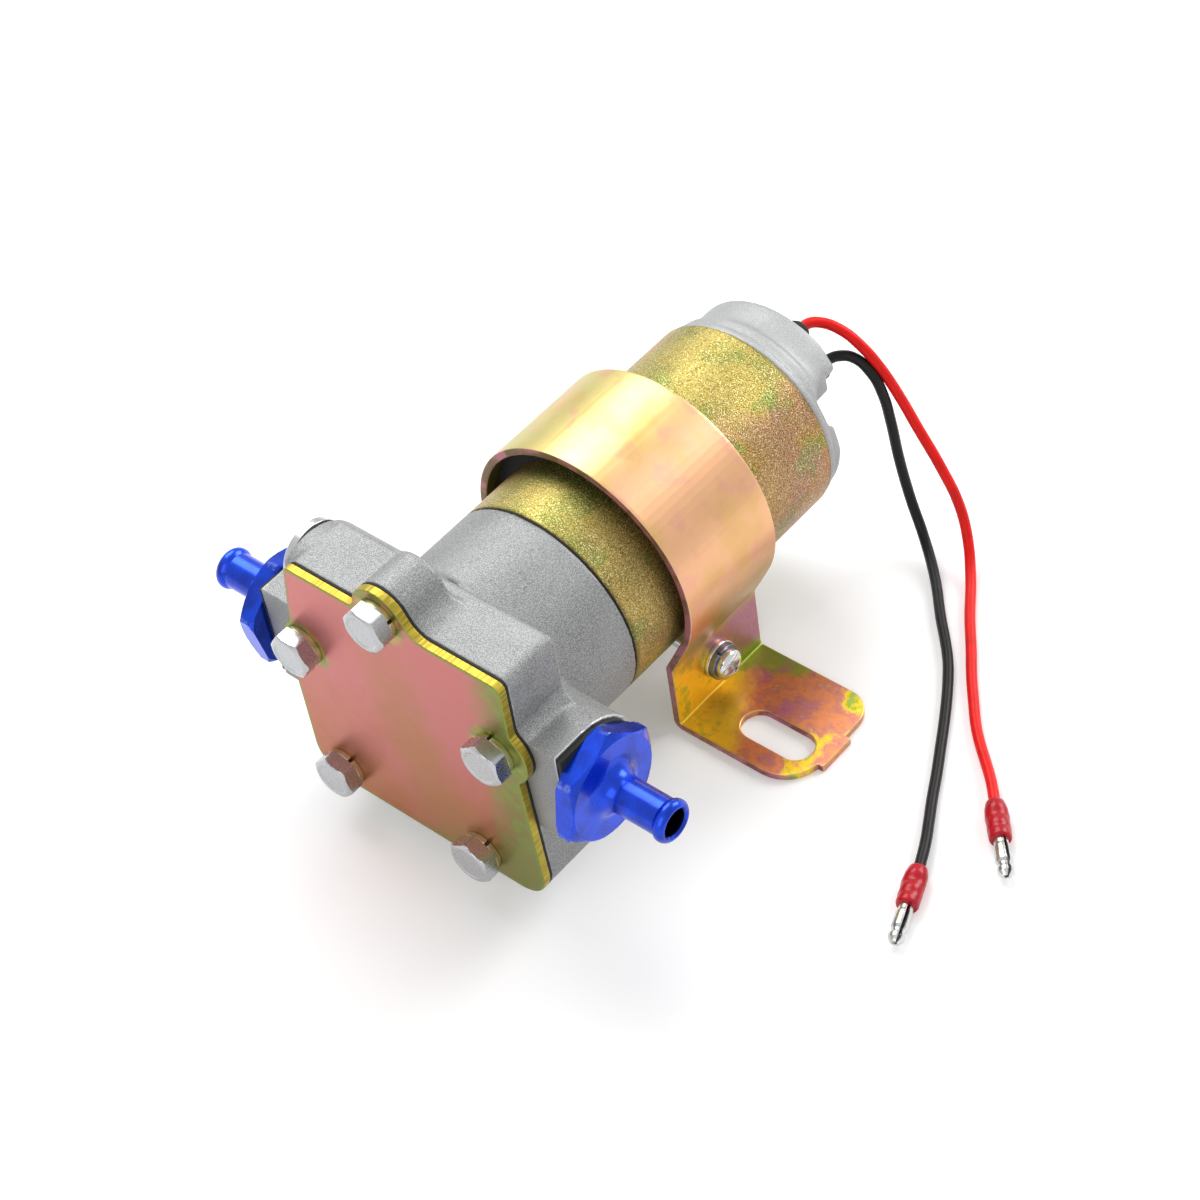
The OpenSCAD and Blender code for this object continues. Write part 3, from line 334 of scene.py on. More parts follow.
def soften(node, v, marks=None, radii=(), height=0.0):
    # the node's own shape with rounded edges; where it is cut into a grid, its points also keep
    # their distance to the edges
    sharp, flat = 28, 0.6
    shape = welded(node)
    bmesh.ops.dissolve_limit(shape, angle_limit=math.radians(flat), verts=shape.verts, edges=shape.edges)
    corners = sharpPoints(shape, sharp)
    holder = linkTemporary(meshOf(shape, node))
    bevel = holder.modifiers.new("round", "BEVEL")
    bevel.width, bevel.segments, bevel.limit_method = v["round"] * mm, v["steps"], "ANGLE"
    bevel.angle_limit, bevel.use_clamp_overlap = math.radians(sharp), False
    bevel.miter_outer = "MITER_ARC"
    mesh = applied(holder, node)
    if "cuts" in v:
        shape = bmesh.new()
        shape.from_mesh(mesh)
        for axis, step in v["cuts"]:
            gridCut(shape, axis, step)
        roundOut(shape, radii, height)
        shape.to_mesh(mesh)
        shape.free()
    mesh = shaded(mesh)
    if "cuts" in v:
        keepDistance(mesh, "edge", corners)
    for mark, points in (marks or {}).items():
        keepDistance(mesh, mark, points)
    return addPiece(node + "_finished", mesh, node)


def recast(node, v, held):
    # the node as a casting: remade of small cells and eased, so that its edges and corners are
    # round, except where held(point) gives less than 1
    shape = welded(node)
    corners = sharpPoints(shape, v["sharp"])
    holder = linkTemporary(meshOf(shape, node))
    cells = holder.modifiers.new("cells", "REMESH")
    cells.mode, cells.voxel_size, cells.adaptivity = "VOXEL", v["grain"] * mm, 0
    mesh = applied(holder, node)
    holder = linkTemporary(mesh)
    group = holder.vertex_groups.new(name="soft")
    for vertex in mesh.vertices:
        group.add([vertex.index], held(vertex.co / mm), "REPLACE")
    ease = holder.modifiers.new("ease", "SMOOTH")
    ease.factor, ease.iterations, ease.vertex_group = v["factor"], v["rounds"], "soft"
    mesh = applied(holder, node)
    for face in mesh.polygons:
        face.use_smooth = True
    keepDistance(mesh, "edge", corners)
    return addPiece(node + "_cast", mesh, node)


def turn(profile, axis, centre, parts, sweep=360.0, start=0.0):
    # a closed profile of (along, radius) in millimetres, turned about an axis through the centre
    shape = bmesh.new()
    closed = sweep > 359.9
    along = {"x": Vector((1, 0, 0)), "y": Vector((0, 1, 0))}[axis]
    side = {"x": Vector((0, 1, 0)), "y": Vector((1, 0, 0))}[axis]
    up = Vector((0, 0, 1))
    rings = []
    for k in range(parts if closed else parts + 1):
        angle = math.radians(start + sweep * k / parts)
        out = side * math.cos(angle) + up * math.sin(angle)
        rings.append([shape.verts.new((Vector(centre) + along * a + out * r) * mm) for a, r in profile])
    for k in range(parts):
        here, there = rings[k], rings[(k + 1) % len(rings)]
        for i in range(len(profile)):
            j = (i + 1) % len(profile)
            shape.faces.new((here[i], here[j], there[j], there[i]))
    if not closed:
        shape.faces.new(rings[0])
        shape.faces.new(reversed(rings[-1]))
    bmesh.ops.remove_doubles(shape, verts=shape.verts, dist=0.001 * mm)
    bmesh.ops.recalc_face_normals(shape, faces=shape.faces)
    return meshOf(shape, "turned")


def roundedProfile(corners, steps=5):
    # corners as (along, radius, rounding); each becomes an arc
    points = []
    count = len(corners)
    for k, (a, r, size) in enumerate(corners):
        here = Vector((a, r))
        before = Vector(corners[k - 1][:2]) - here
        after = Vector(corners[(k + 1) % count][:2]) - here
        if size == 0:
            points.append((a, r))
            continue
        first, second = before.normalized(), after.normalized()
        half = first.angle(second) / 2
        reach = min(size / math.tan(half), before.length * 0.49, after.length * 0.49)
        p, q = here + first * reach, here + second * reach
        for i in range(steps + 1):
            t = i / steps
            points.append(tuple(p * (1 - t) ** 2 + here * 2 * t * (1 - t) + q * t ** 2))
    return points


def islands(node):
    # the middle of each separate solid of a node
    shape = welded(node)
    left, middles = set(shape.verts), []
    while left:
        stack, group = [left.pop()], []
        while stack:
            vertex = stack.pop()
            group.append(vertex.co.copy())
            for edge in vertex.link_edges:
                other = edge.other_vert(vertex)
                if other in left:
                    left.discard(other)
                    stack.append(other)
        low = Vector([min(p[i] for p in group) for i in range(3)])
        high = Vector([max(p[i] for p in group) for i in range(3)])
        middles.append((low + high) / 2)
    shape.free()
    return middles


# finishes: colours as sRGB texts, sizes of their noise in millimetres
chromateCover = {"salmon": "b06a40", "rose": "c0706c", "gold": "a4763c", "olive": "7d7c38", "green": "78903a",
                 "lime": "b4b240", "cut": "baa63e", "rib": "6e5a20", "metal": 0.85, "rough": 0.36,
                 "cloud": 13, "fine": 3.2, "dust": 0.5, "ribs": 0.55}


def coverFinish(v):
    f = Finish("chromate_cover", metallic=v["metal"])
    x, z, edge, bolt = f.axis("x"), f.axis("z"), f.measure("edge"), f.measure("bolt")
    cloud, fine, dust = f.noise(v["cloud"], 4, 0.58), f.noise(v["fine"], 4, 0.6), f.noise(v["dust"], 2)
    # rose at the top and salmon below, with a gold band down the middle
    body = f.mix((z * -0.022 + cloud * 1.1 + 0.65).clamped(), tint(v["rose"]), tint(v["salmon"]))
    band = (abs(x + z * 0.16 - 8) * -1 + cloud * 22).between(-5, 9)
    body = f.mix(band * z.between(84, 50) * 0.5, body, tint(v["gold"]))
    # green and olive down the right side and into the lower corner
    right = (x - z * 0.04 + fine * 5 + cloud * 6).between(25, 35)
    body = f.mix(right * 0.9, body, f.mix(fine.between(0.4, 0.62), tint(v["olive"]), tint(v["green"])))
    low = (z * -1 + x * 0.5 + fine * 6).between(-12, 2)
    body = f.mix(low * 0.8, body, tint(v["olive"]))
    # green round the upper bolts and along the edge
    halo = (bolt + fine * 3 + cloud * 3).between(11.4, 8.4) * z.between(46, 52)
    body = f.mix(halo * 0.85, body, f.mix(fine.between(0.45, 0.6), tint(v["green"]), tint(v["lime"])))
    body = f.mix((edge + fine * 1.4).between(2.0, 0.9) * 0.8, body, tint(v["green"]))
    # the stamped rim is yellow, with ribs across it
    cut = f.facing(1).between(0.75, 0.3)
    ribs = f.noise(v["ribs"], 1, 0.5, stretch=(1, 0.08, 1)).between(0.4, 0.66)
    body = f.mix(cut, body, f.mix(ribs * 0.5, tint(v["cut"]), tint(v["rib"])))
    height = f.relief(ribs * cut, 0.05, 0.5, f.relief(dust, 0.02, 0.35, f.relief(cloud, 0.5, 0.2)))
    f.set(base_color=body, roughness=fine * 0.12 + (v["rough"] - 0.06) + cut * 0.08, normal=height)
    return f


castMetal = {"light": "acadad", "mid": "959696", "dark": "5c5d5e", "worn": "bfc0c0", "metal": 0.55,
             "rough": 0.54, "sand": 0.28, "grit": 0.8, "blotch": 11, "scuff": 2.4}


def castFinish(v, portFace):
    f = Finish("cast_alloy")
    edge, sand, grit = f.measure("edge"), f.noise(v["sand"], 2, 0.6), f.noise(v["grit"], 2, 0.6, move=(4, 2, 7))
    blotch, scuff = f.noise(v["blotch"], 3, 0.5), f.noise(v["scuff"], 4, 0.7, move=(1, 6, 2))
    body = f.mix(sand.between(0.36, 0.64), tint(v["dark"]), tint(v["light"]))
    body = f.mix(0.3, body, tint(v["mid"]))
    body = f.mix(blotch.between(0.3, 0.75) * 0.22, body, tint(v["light"]))
    # worn along the edges, and a little lighter on the end bell
    worn = (edge + scuff * 1.6).between(1.35, 0.6)
    body = f.mix(worn * 0.6, body, tint(v["worn"]))
    body = f.mix(f.axis("y").between(47, 48.5) * 0.4, body, tint(v["worn"]))
    # the port faces are machined bare
    bare = abs(f.axis("x")).between(portFace - 0.35, portFace - 0.15) * f.axis("z").between(66, 63)
    body = f.mix(bare, body, tint(v["worn"]))
    rough = (sand * 0.16 + (v["rough"] - 0.08) - worn * 0.1) * (1 - bare) + bare * 0.3
    height = f.relief(sand, 0.07, 0.6, f.relief(grit, 0.1, 0.45, f.relief(blotch, 0.4, 0.2)))
    metallic = (worn * 0.2 + v["metal"]).larger(bare * 0.9)
    f.set(base_color=body, roughness=rough, metallic=metallic, normal=height)
    return f


chromateCase = {"gold": "ad9a4c", "olive": "7f8238", "rose": "b07862", "pink": "b06c70", "orange": "b07a34",
                "green": "68883e", "brown": "54461f", "pale": "e8e2a4", "metal": 0.88, "rough": 0.42,
                "cloud": 14, "patch": 11, "drift": 9, "grain": 0.36, "speck": 0.32}


def caseFinish(v, low, high):
    f = Finish("chromate_case", metallic=v["metal"])
    x, along = f.axis("x"), f.axis("y")
    cloud, patch = f.noise(v["cloud"], 3, 0.55), f.noise(v["patch"], 3, 0.6, move=(7, 0, 3))
    drift, grain = f.noise(v["drift"], 4, 0.62, move=(0, 5, 9)), f.noise(v["grain"], 2, 0.7)
    speck = f.noise(v["speck"], 2, 0.6, move=(9, 9, 1))
    body = f.mix(cloud.between(0.4, 0.64), tint(v["gold"]), tint(v["olive"]))
    # rose, orange and pink on the right side, most of all behind the strap, and rose on the left
    side = (x + patch * 26).between(22, 34) * (along.between(2, 42) * 0.6 + 0.25)
    warm = f.mix(cloud.between(0.45, 0.6), tint(v["orange"]), tint(v["pink"]))
    body = f.mix(side, body, f.mix(drift.between(0.42, 0.6), tint(v["rose"]), warm))
    body = f.mix((x * -1 + drift * 20).between(22, 32) * 0.6, body, tint(v["rose"]))
    body = f.mix((drift + x * 0.003).between(0.6, 0.7) * 0.55, body, tint(v["green"]))
    # dark pits and pale grains of the plating
    body = f.mix(grain.between(0.52, 0.38) * 0.8, body, tint(v["brown"]))
    body = f.mix(speck.between(0.52, 0.66) * 0.75, body, tint(v["pale"]))
    # browner within about two millimetres of both ends of the tube, where it meets the head and the bell
    ends = (along - low).smaller(high - along) + patch * 3
    body = f.mix(ends.between(2.6, 1.6) * 0.5, body, tint(v["brown"]))
    height = f.relief(grain, 0.1, 0.8, f.relief(speck, 0.1, 0.6, f.relief(patch, 0.3, 0.2)))
    f.set(base_color=body, roughness=grain * 0.24 + (v["rough"] - 0.12), normal=height)
    return f


# pale is also the colour of the painted highlight on the hoop's top and along the strap's edges; low and olive
# are partly painted shade on the hoop's lower sides
chromateStrap = {"gold": "d2ac62", "low": "ba9056", "peach": "e6b288", "pale": "decd84", "lime": "b6b068",
                 "olive": "b8a050", "yellow": "f0c832", "orange": "dc8c5c", "pink": "d08888",
                 "brown": "c07c70", "green": "8cab42", "mauve": "b87090", "rosy": "e0a090", "cut": "6e4a4c",
                 "metal": 0.88, "rough": 0.36, "crease": 20.5, "cloud": 14, "wide": 15, "drift": 6,
                 "bumps": 1.1, "grain": 0.5}


def hoopColours(f, v, x, z, cloud, wide, drift):
    # from lime on the left over a pale top to peach and gold on the right; the pale top is partly the plating's
    # tone and partly a painted highlight where the key lamp's reflection falls
    around = x + cloud * 10 - 5
    hoop = f.mix(around.between(-24, -6), tint(v["lime"]), tint(v["pale"]))
    hoop = f.mix(around.between(4, 15), hoop, tint(v["peach"]))
    # lower down, the hoop turns low gold and then olive: partly the plating's tone, partly painted shade on its
    # lower sides
    hoop = f.mix((z * -1 + cloud * 14).between(-42, -26), hoop, tint(v["low"]))
    hoop = f.mix((z * -1 + cloud * 10).between(-32, -18), hoop, tint(v["olive"]))
    hoop = f.mix(drift.between(0.5, 0.66) * 0.5, hoop, tint(v["rosy"]))
    return f.mix(wide.between(0.5, 0.68) * 0.55, hoop, tint(v["gold"]))


def footColours(f, v, out, y, z, wide, drift, bumps):
    stops = ((0.36, "mauve"), (0.44, "brown"), (0.5, "orange"), (0.56, "brown"), (0.62, "yellow"),
             (0.66, "green"), (0.72, "pink"))
    hue = wide * 0.6 + drift * 0.4 + (out - 44) * 0.003
    foot = f.ramp(hue, *((place, tint(v[name])) for place, name in stops))
    # yellow and green near the bend and in the corner, mauve up the leg
    near = ((out - 30) * 0.1 + y * 0.06 + drift * 1.6).between(1.5, 0.7)
    fresh = f.mix(drift.between(0.5, 0.6) * 0.7, tint(v["yellow"]), tint(v["green"]))
    foot = f.mix(near * 0.9, foot, fresh)
    corner = (y * 0.1 - (out - 32) * 0.06 + drift * 1.2).between(1.9, 2.4)
    foot = f.mix(corner * 0.8, foot, tint(v["green"]))
    upper = (y * 0.12 + z * 0.1 + drift * 1.4).between(2.3, 3.2) * z.between(3, 7)
    foot = f.mix(upper * 0.85, foot, tint(v["mauve"]))
    # small scratches and pits
    foot = f.mix(bumps.between(0.55, 0.75) * 0.22, foot, tint(v["pale"]))
    return f.mix(bumps.between(0.42, 0.28) * 0.3, foot, tint(v["cut"]))


def strapFinish(v):
    f = Finish("chromate_strap", metallic=v["metal"])
    x, y, z, edge = f.axis("x"), f.axis("y"), f.axis("z"), f.measure("edge")
    cloud, grain = f.noise(v["cloud"], 3, 0.55), f.noise(v["grain"], 2, 0.6)
    wide, drift = f.noise(v["wide"], 2, 0.5, move=(2, 0, 6)), f.noise(v["drift"], 4, 0.6, twist=0.3)
    bumps = f.noise(v["bumps"], 3, 0.6, move=(5, 5, 5))
    lower = (z + wide * 5).between(v["crease"] + 4, v["crease"])
    body = f.mix(lower, hoopColours(f, v, x, z, cloud, wide, drift),
                 footColours(f, v, abs(x), y, z, wide, drift, bumps))
    # the sheared sides of the strip are dark, and a pale band along its edges is a painted highlight
    cut = f.facing(1).between(0.6, 0.9)
    body = f.mix(cut * 0.8, body, f.mix(drift.between(0.4, 0.6), tint(v["cut"]), tint(v["mauve"])))
    body = f.mix((edge + grain * 0.5).between(0.75, 0.35) * (1 - cut) * 0.5, body, tint(v["pale"]))
    height = f.relief(grain, 0.02, 0.4, f.relief(cloud, 0.3, 0.2))
    f.set(base_color=body, roughness=grain * 0.1 + (v["rough"] - 0.05) + cut * 0.16,
          normal=f.relief(bumps * z.between(20, 12), 0.06, 0.5, height))
    return f


# dark is the colour of the painted shade inside the bores
anodised = {"blue": "0843d8", "deep": "0532ac", "worn": "9fb2dc", "dark": "03081c", "metal": 0.7,
            "rough": 0.26, "coat": 0.2, "cloud": 6, "lathe": 0.5, "spots": 1.6}


def anodisedFinish(v, axisHeight, axisBack, bore, mouth):
    f = Finish("anodised_blue", metallic=v["metal"], coat_weight=v["coat"])
    lathe, spots = f.noise(v["lathe"], 2, 0.5, stretch=(6, 0.3, 0.3)), f.noise(v["spots"], 4, 0.7)
    body = f.mix(f.noise(v["cloud"], 2).between(0.4, 0.7), tint(v["blue"]), tint(v["deep"]))
    worn = (f.measure("edge") + spots * 0.9).between(0.5, 0.36)
    body = f.mix(worn * 0.3, body, tint(v["worn"]))
    # painted shade inside the bore: the wall is coloured near black, where shadow falls in it
    out = ((f.axis("y") - axisBack) ** 2 + (f.axis("z") - axisHeight) ** 2) ** 0.5
    inside = out.between(bore + 0.3, bore + 0.1) * abs(f.axis("x")).between(mouth, mouth - 1.2)
    body = f.mix(inside, body, tint(v["dark"]))
    f.set(base_color=body, roughness=lathe * 0.1 + (v["rough"] - 0.05), normal=f.relief(lathe, 0.02, 0.4))
    return f


metals = {
    "machined_alloy": {"colour": "c9cacb", "rough": 0.3},
    "zinc_bolt": {"colour": "b6b8ba", "rough": 0.27, "grain": 0.9, "stain": "b0b3b6", "depth": 0.015},
    "washer_gold": {"colour": "c8c2a4", "rough": 0.34, "stain": "a08a58"},
    "bright_steel": {"colour": "c8cacc", "rough": 0.24},
    "tool_steel": {"colour": "9a9ca0", "rough": 0.3},
    "spring_steel": {"colour": "84878c", "rough": 0.32},
    "core_steel": {"colour": "5c5f63", "rough": 0.45, "stain": "4a3c30"},
    "chrome_screw": {"colour": "dcdddd", "rough": 0.16},
    "bronze": {"colour": "b98a54", "rough": 0.4, "stain": "7c5a34"},
    "brass_strip": {"colour": "cfae62", "rough": 0.3},
    "copper": {"colour": "b8673c", "rough": 0.3, "stain": "70381e"},
    "tinned_brass": {"colour": "cfd0cf", "rough": 0.24, "stain": "a9a8a2"},
    "magnet": {"colour": "3a3a3c", "rough": 0.6, "metallic": 0.3},
    "carbon": {"colour": "2b2b2d", "rough": 0.6, "metallic": 0.2},
}


def metalFinish(name, colour, rough, metallic=0.95, grain=0.5, stain=None, depth=0.02):
    # plated or machined metal with fine grain and faint blotches
    f = Finish(name, metallic=metallic)
    fine, blotch = f.noise(grain, 3, 0.6), f.noise(grain * 7, 3, 0.6, move=(3, 1, 4))
    base = tint(colour)
    darker = tint(stain) if stain else darkened(base, 0.72)
    f.set(base_color=f.mix(blotch.between(0.45, 0.75) * 0.6, base, darker),
          roughness=fine * 0.16 + (rough - 0.08), normal=f.relief(fine, depth, 0.5))
    return f


softs = {
    "phenolic": {"colour": "5c3522", "rough": 0.5},
    "gasket_black": {"colour": "15140f", "rough": 0.75},
    "rubber_black": {"colour": "0b0b0c", "rough": 0.75},
    "lead_sheath": {"colour": "a02018", "rough": 0.5},
    "red_pvc": {"colour": "ea140e", "rough": 0.4, "shine": 0.25},
    "black_pvc": {"colour": "101112", "rough": 0.4, "shine": 0.25},
    "crimp_red": {"colour": "b80a20", "rough": 0.3, "coat": 0.1, "shine": 0.3},
}


def softFinish(name, colour, rough, coat=0.0, shine=0.5):
    # rubber, moulded plastic or cable skin
    f = Finish(name, metallic=0.0, coat_weight=coat, specular_ior_level=shine)
    fine, blotch = f.noise(0.5, 3, 0.6), f.noise(4.5, 2, 0.5)
    base = tint(colour)
    f.set(base_color=f.mix(blotch.between(0.35, 0.75) * 0.7, base, darkened(base, 0.75)),
          roughness=fine * 0.16 + (rough - 0.08), normal=f.relief(fine, 0.02, 0.5))
    return f


# hose fittings; their axis is given by its y and z
fitting = {"axis": (-59.3, 46.6), "flats": 26.0, "turned": 20, "corner": 2.1, "hexagon": 5.1, "neck": 4.0,
           "stem": 4.5, "bead": 5.2, "bore": 3.4, "mouth": 0.5, "thread": 6.6, "deep": 0.6, "parts": 120,
           "back": ((0, 1), (0.4, 1.7), (0.8, 2.1)), "bevel": 1.6, "inset": 0.3, "steps": 8,
           "band": 0.6, "sharp": 28, "beadLength": 3.1,
           "beadSteps": ((2.75, 0.42), (2.4, 0.15), (1.9, 0), (1.2, 0), (0.7, 0.2), (0.3, 0.5), (0.1, 0.75),
                         (0, 1.0))}
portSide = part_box("port_seals")[1].x / mm  # the fittings' hexagons start here
seal = {"thick": 1.2, "round": 0.2, "steps": 2}
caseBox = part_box("motor_case")
finishes = {
    "chromate_plate": coverFinish(chromateCover),
    "chromate_case": caseFinish(chromateCase, caseBox[0].y / mm, caseBox[1].y / mm),
    "chromate_strap": strapFinish(chromateStrap),
    "cast_alloy": castFinish(castMetal, portSide - seal["thick"]),
    "blue_anodised": anodisedFinish(anodised, fitting["axis"][1], fitting["axis"][0], fitting["bore"],
                                    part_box("outlet_fitting")[1].x / mm),
}
for name, v in metals.items():
    finishes[name] = metalFinish(name, **v)
for name, v in softs.items():
    finishes[name] = softFinish(name, **v)
print("finishes:", len(finishes))

# wires and their terminals; each route runs from the grommet to the sleeve
wires = {
    "red": {"thick": 2.7, "length": 156, "lay": (0.67, -0.742), "route": [
        (6, 65.4, 61), (6.2, 68, 61.2), (8, 70.8, 60.4), (12.4, 73, 58.4), (17, 74.2, 54.8), (21.4, 75.4, 49),
        (26, 76.4, 41), (31, 76.6, 32.6), (37.6, 76, 23.8), (43.2, 75.4, 14), (47.2, 72.8, 7), (52, 67, 2.4),
        (60, 55.4, 1.35), (65.6, 48, 1.35), (71, 40.6, 1.35), (75.8, 34.6, 1.35), (80.6, 28.8, 1.35),
        (85, 24.4, 1.45), (89.2, 20.6, 1.8), (93.6, 16.4, 2.4), (98, 11.6, 2.7)]},
    "black": {"thick": 2.7, "length": 164, "lay": (0.364, -0.931), "route": [
        (11.5, 65.4, 52.5), (11.8, 67.6, 52.6), (13, 70.4, 52.4), (16, 72.4, 51.8), (20.2, 73.2, 48.6),
        (23.2, 73.6, 42.4), (25, 73.6, 34.6), (27.4, 73, 23.2), (31, 71.8, 13), (36.6, 69, 5.2),
        (44.6, 62.2, 1.9), (54.4, 51.4, 1.35), (59, 46.6, 1.35), (63.4, 41.6, 1.35), (67, 36.6, 1.35),
        (70.6, 31, 1.35), (74.4, 24.6, 1.35), (78, 18.2, 1.35), (81.6, 11.8, 1.35), (85, 5.4, 1.45),
        (88.2, -0.2, 1.8), (91.8, -6.6, 2.4), (95, -13.4, 2.7)]},
}
terminal = {"sleeve": 11.0, "sleeveRadius": 2.7, "mouth": 0.72, "bell": 0.22, "lip": 0.94, "nose": 0.93,
            "wireHole": 1.42, "bulletHole": 1.9, "crimps": ((0.42, 0.13, 0.2), (0.74, 0.08, 0.1)),
            "flare": 0.6, "narrowing": 0.1, "ripple": 0.15, "widening": 0.28, "around": 40, "along": 44,
            "bullet": 10.5, "bulletRadius": 2.0, "sunk": 1.2, "sheet": 0.42, "split": 26, "splitAt": 60,
            "shaftSteps": ((0, 0.25), (2.6, 0.25), (3.4, 0.05), (5.4, 0)),
            "noseSteps": ((4.4, 0), (3.6, 0.42), (2.9, 0.45), (2.2, 0.1), (1.2, 0.2), (0.4, 0.75), (0, 1.2)),
            "outside": 0.35, "inside": 0.2, "tipWall": 0.3, "least": 0.3, "bulletParts": 56, "sharp": 40}


def atTerminal(mesh, wire):
    # from the x axis to the end of the wire, along its lay
    end, (east, north) = Vector(wire["route"][-1]) * mm, wire["lay"]
    mesh.transform(Matrix.Translation(end) @ Matrix.Rotation(math.atan2(north, east), 4, "Z"))
    return mesh


def sleeveRing(v, t, phase):
    # points round the sleeve at the share t of its length, in millimetres
    radius = v["sleeveRadius"] * (v["mouth"] + (1 - v["mouth"]) * min(1, t / v["bell"]) ** v["flare"])
    press = sum(math.exp(-((t - at) / wide) ** 2) * deep for at, wide, deep in v["crimps"])
    if t > v["nose"]:
        radius *= 1 - v["narrowing"] * ((t - v["nose"]) / (1 - v["nose"])) ** 2
    if t == 0:
        radius *= v["lip"]
    points = []
    for i in range(v["around"]):
        angle = 2 * math.pi * i / v["around"]
        bump = 1 + v["ripple"] * math.sin(3 * angle + phase) * press
        wide, flat = radius * (1 + press * v["widening"]), radius * (1 - press)
        points.append((v["sleeve"] * t, wide * math.cos(angle) * bump, flat * math.sin(angle) * bump))
    return points


def sleeveMesh(v, phase):
    # a moulded sleeve with a belled mouth and crimps pressed into it
    shape = bmesh.new()
    rings = [[shape.verts.new(Vector(point) * mm) for point in sleeveRing(v, k / v["along"], phase)]
             for k in range(v["along"] + 1)]
    for ring, hole in ((rings[0], v["wireHole"]), (rings[-1], v["bulletHole"])):
        shares = [hole * mm / math.hypot(p.co.y, p.co.z) for p in ring]
        inner = [shape.verts.new((p.co.x, p.co.y * k, p.co.z * k)) for p, k in zip(ring, shares)]
        rings.insert(0, inner) if ring is rings[0] else rings.append(inner)
    for here, there in zip(rings, rings[1:]):
        for i in range(v["around"]):
            j = (i + 1) % v["around"]
            shape.faces.new((here[i], here[j], there[j], there[i]))
    shape.faces.new(rings[0][::-1])
    shape.faces.new(rings[-1])
    bmesh.ops.recalc_face_normals(shape, faces=shape.faces)
    return shaded(meshOf(shape, "sleeve"))


def bulletMesh(v):
    # rolled from sheet: a tube with a split along it, necked behind its round nose
    r, start, end = v["bulletRadius"], v["sleeve"] - v["sunk"], v["sleeve"] + v["bullet"]
    outer = [(start + along, r - low) for along, low in v["shaftSteps"]]
    outer += [(end - back, r - low) for back, low in v["noseSteps"]]
    inner = [(a - (v["tipWall"] if a > start + 1 else 0), max(v["least"], q - v["sheet"]))
             for a, q in reversed(outer)]
    corners = [(a, q, v["outside"]) for a, q in outer] + [(a, q, v["inside"]) for a, q in inner]
    mesh = turn(roundedProfile(corners, 3), "x", (0, 0, 0), v["bulletParts"], 360 - v["split"],
                v["splitAt"] + v["split"] / 2)
    return shaded(mesh, v["sharp"])


def layWire(colour, v):
    curve = bpy.data.curves.new(colour + "_lead", "CURVE")
    curve.dimensions, curve.resolution_u, curve.bevel_resolution = "3D", 8, 6
    curve.bevel_depth, curve.use_fill_caps = v["thick"] / 2 * mm, True
    line = curve.splines.new("BEZIER")
    line.bezier_points.add(len(v["route"]) - 1)
    for knot, point in zip(line.bezier_points, v["route"]):
        knot.co = Vector(point) * mm
        knot.handle_left_type = knot.handle_right_type = "AUTO"
    lead = bpy.data.objects.new(colour + "_lead", curve)
    bpy.context.scene.collection.objects.link(lead)
    node = colour + "_wire"
    curve.materials.append(finishes[slotOf[node]].material)
    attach(lead, bodyOf[node])
    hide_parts(node)
    sleeve = addPiece(colour + "_crimp", atTerminal(sleeveMesh(terminal, len(colour)), v), colour + "_sleeve")
    bullet = addPiece(colour + "_plug", atTerminal(bulletMesh(terminal), v), colour + "_bullet")


for colour, wire in wires.items():
    layWire(colour, wire)
print("wires:", len(wires))

# stage and light; places, sizes and powers of the lamps in metres and watts
stage = {"floor": "f4f4f4", "size": 6.0, "rough": 0.9, "shine": 0.1, "glow": 0.2}
lamps = {"key": {"place": (-0.55, 0.25, 0.85), "size": 0.7, "power": 7.5},
         "front": {"place": (0.2, -0.9, 0.55), "size": 0.8, "power": 3.0},
         "side": {"place": (0.35, 1.1, 0.75), "size": 0.7, "power": 10.0}}
studio = {"sky": 0.55, "backdrop": 1.0, "aim": (0, 0, 0.03)}
openRays = ("Is Camera Ray", "Is Glossy Ray", "Is Transmission Ray")  # these see a white backdrop


def makeFloor(v):
    f = Finish("floor", base_color=tint(v["floor"]), roughness=v["rough"], metallic=0.0,
               specular_ior_level=v["shine"], emission_color=(1, 1, 1, 1))
    seen, *others = (f.node("LightPath", None, None, ray) for ray in openRays)
    for other in others:
        seen = seen.larger(other)
    f.set(emission_strength=seen * v["glow"])
    half = v["size"] / 2
    mesh = bpy.data.meshes.new("floor")
    corners = [(-half, -half, 0), (half, -half, 0), (half, half, 0), (-half, half, 0)]
    mesh.from_pydata(corners, [], [(0, 1, 2, 3)])
    mesh.materials.append(f.material)
    floor = bpy.data.objects.new("floor", mesh)
    bpy.context.scene.collection.objects.link(floor)


def makeWorld(v):
    world = bpy.data.worlds.new("studio")
    bpy.context.scene.world = world
    world.use_nodes = True
    tree = world.node_tree
    tree.nodes.clear()
    kinds = ("LightPath", "MapRange", "Background", "OutputWorld")
    path, scale, background, output = (tree.nodes.new("ShaderNode" + kind) for kind in kinds)
    seen = path.outputs[openRays[0]]
    for ray in openRays[1:]:
        larger = tree.nodes.new("ShaderNodeMath")
        larger.operation = "MAXIMUM"
        tree.links.new(seen, larger.inputs[0])
        tree.links.new(path.outputs[ray], larger.inputs[1])
        seen = larger.outputs[0]
    tree.links.new(seen, scale.inputs[0])
    scale.inputs["To Min"].default_value, scale.inputs["To Max"].default_value = v["sky"], v["backdrop"]
    tree.links.new(scale.outputs[0], background.inputs["Strength"])
    tree.links.new(background.outputs[0], output.inputs[0])


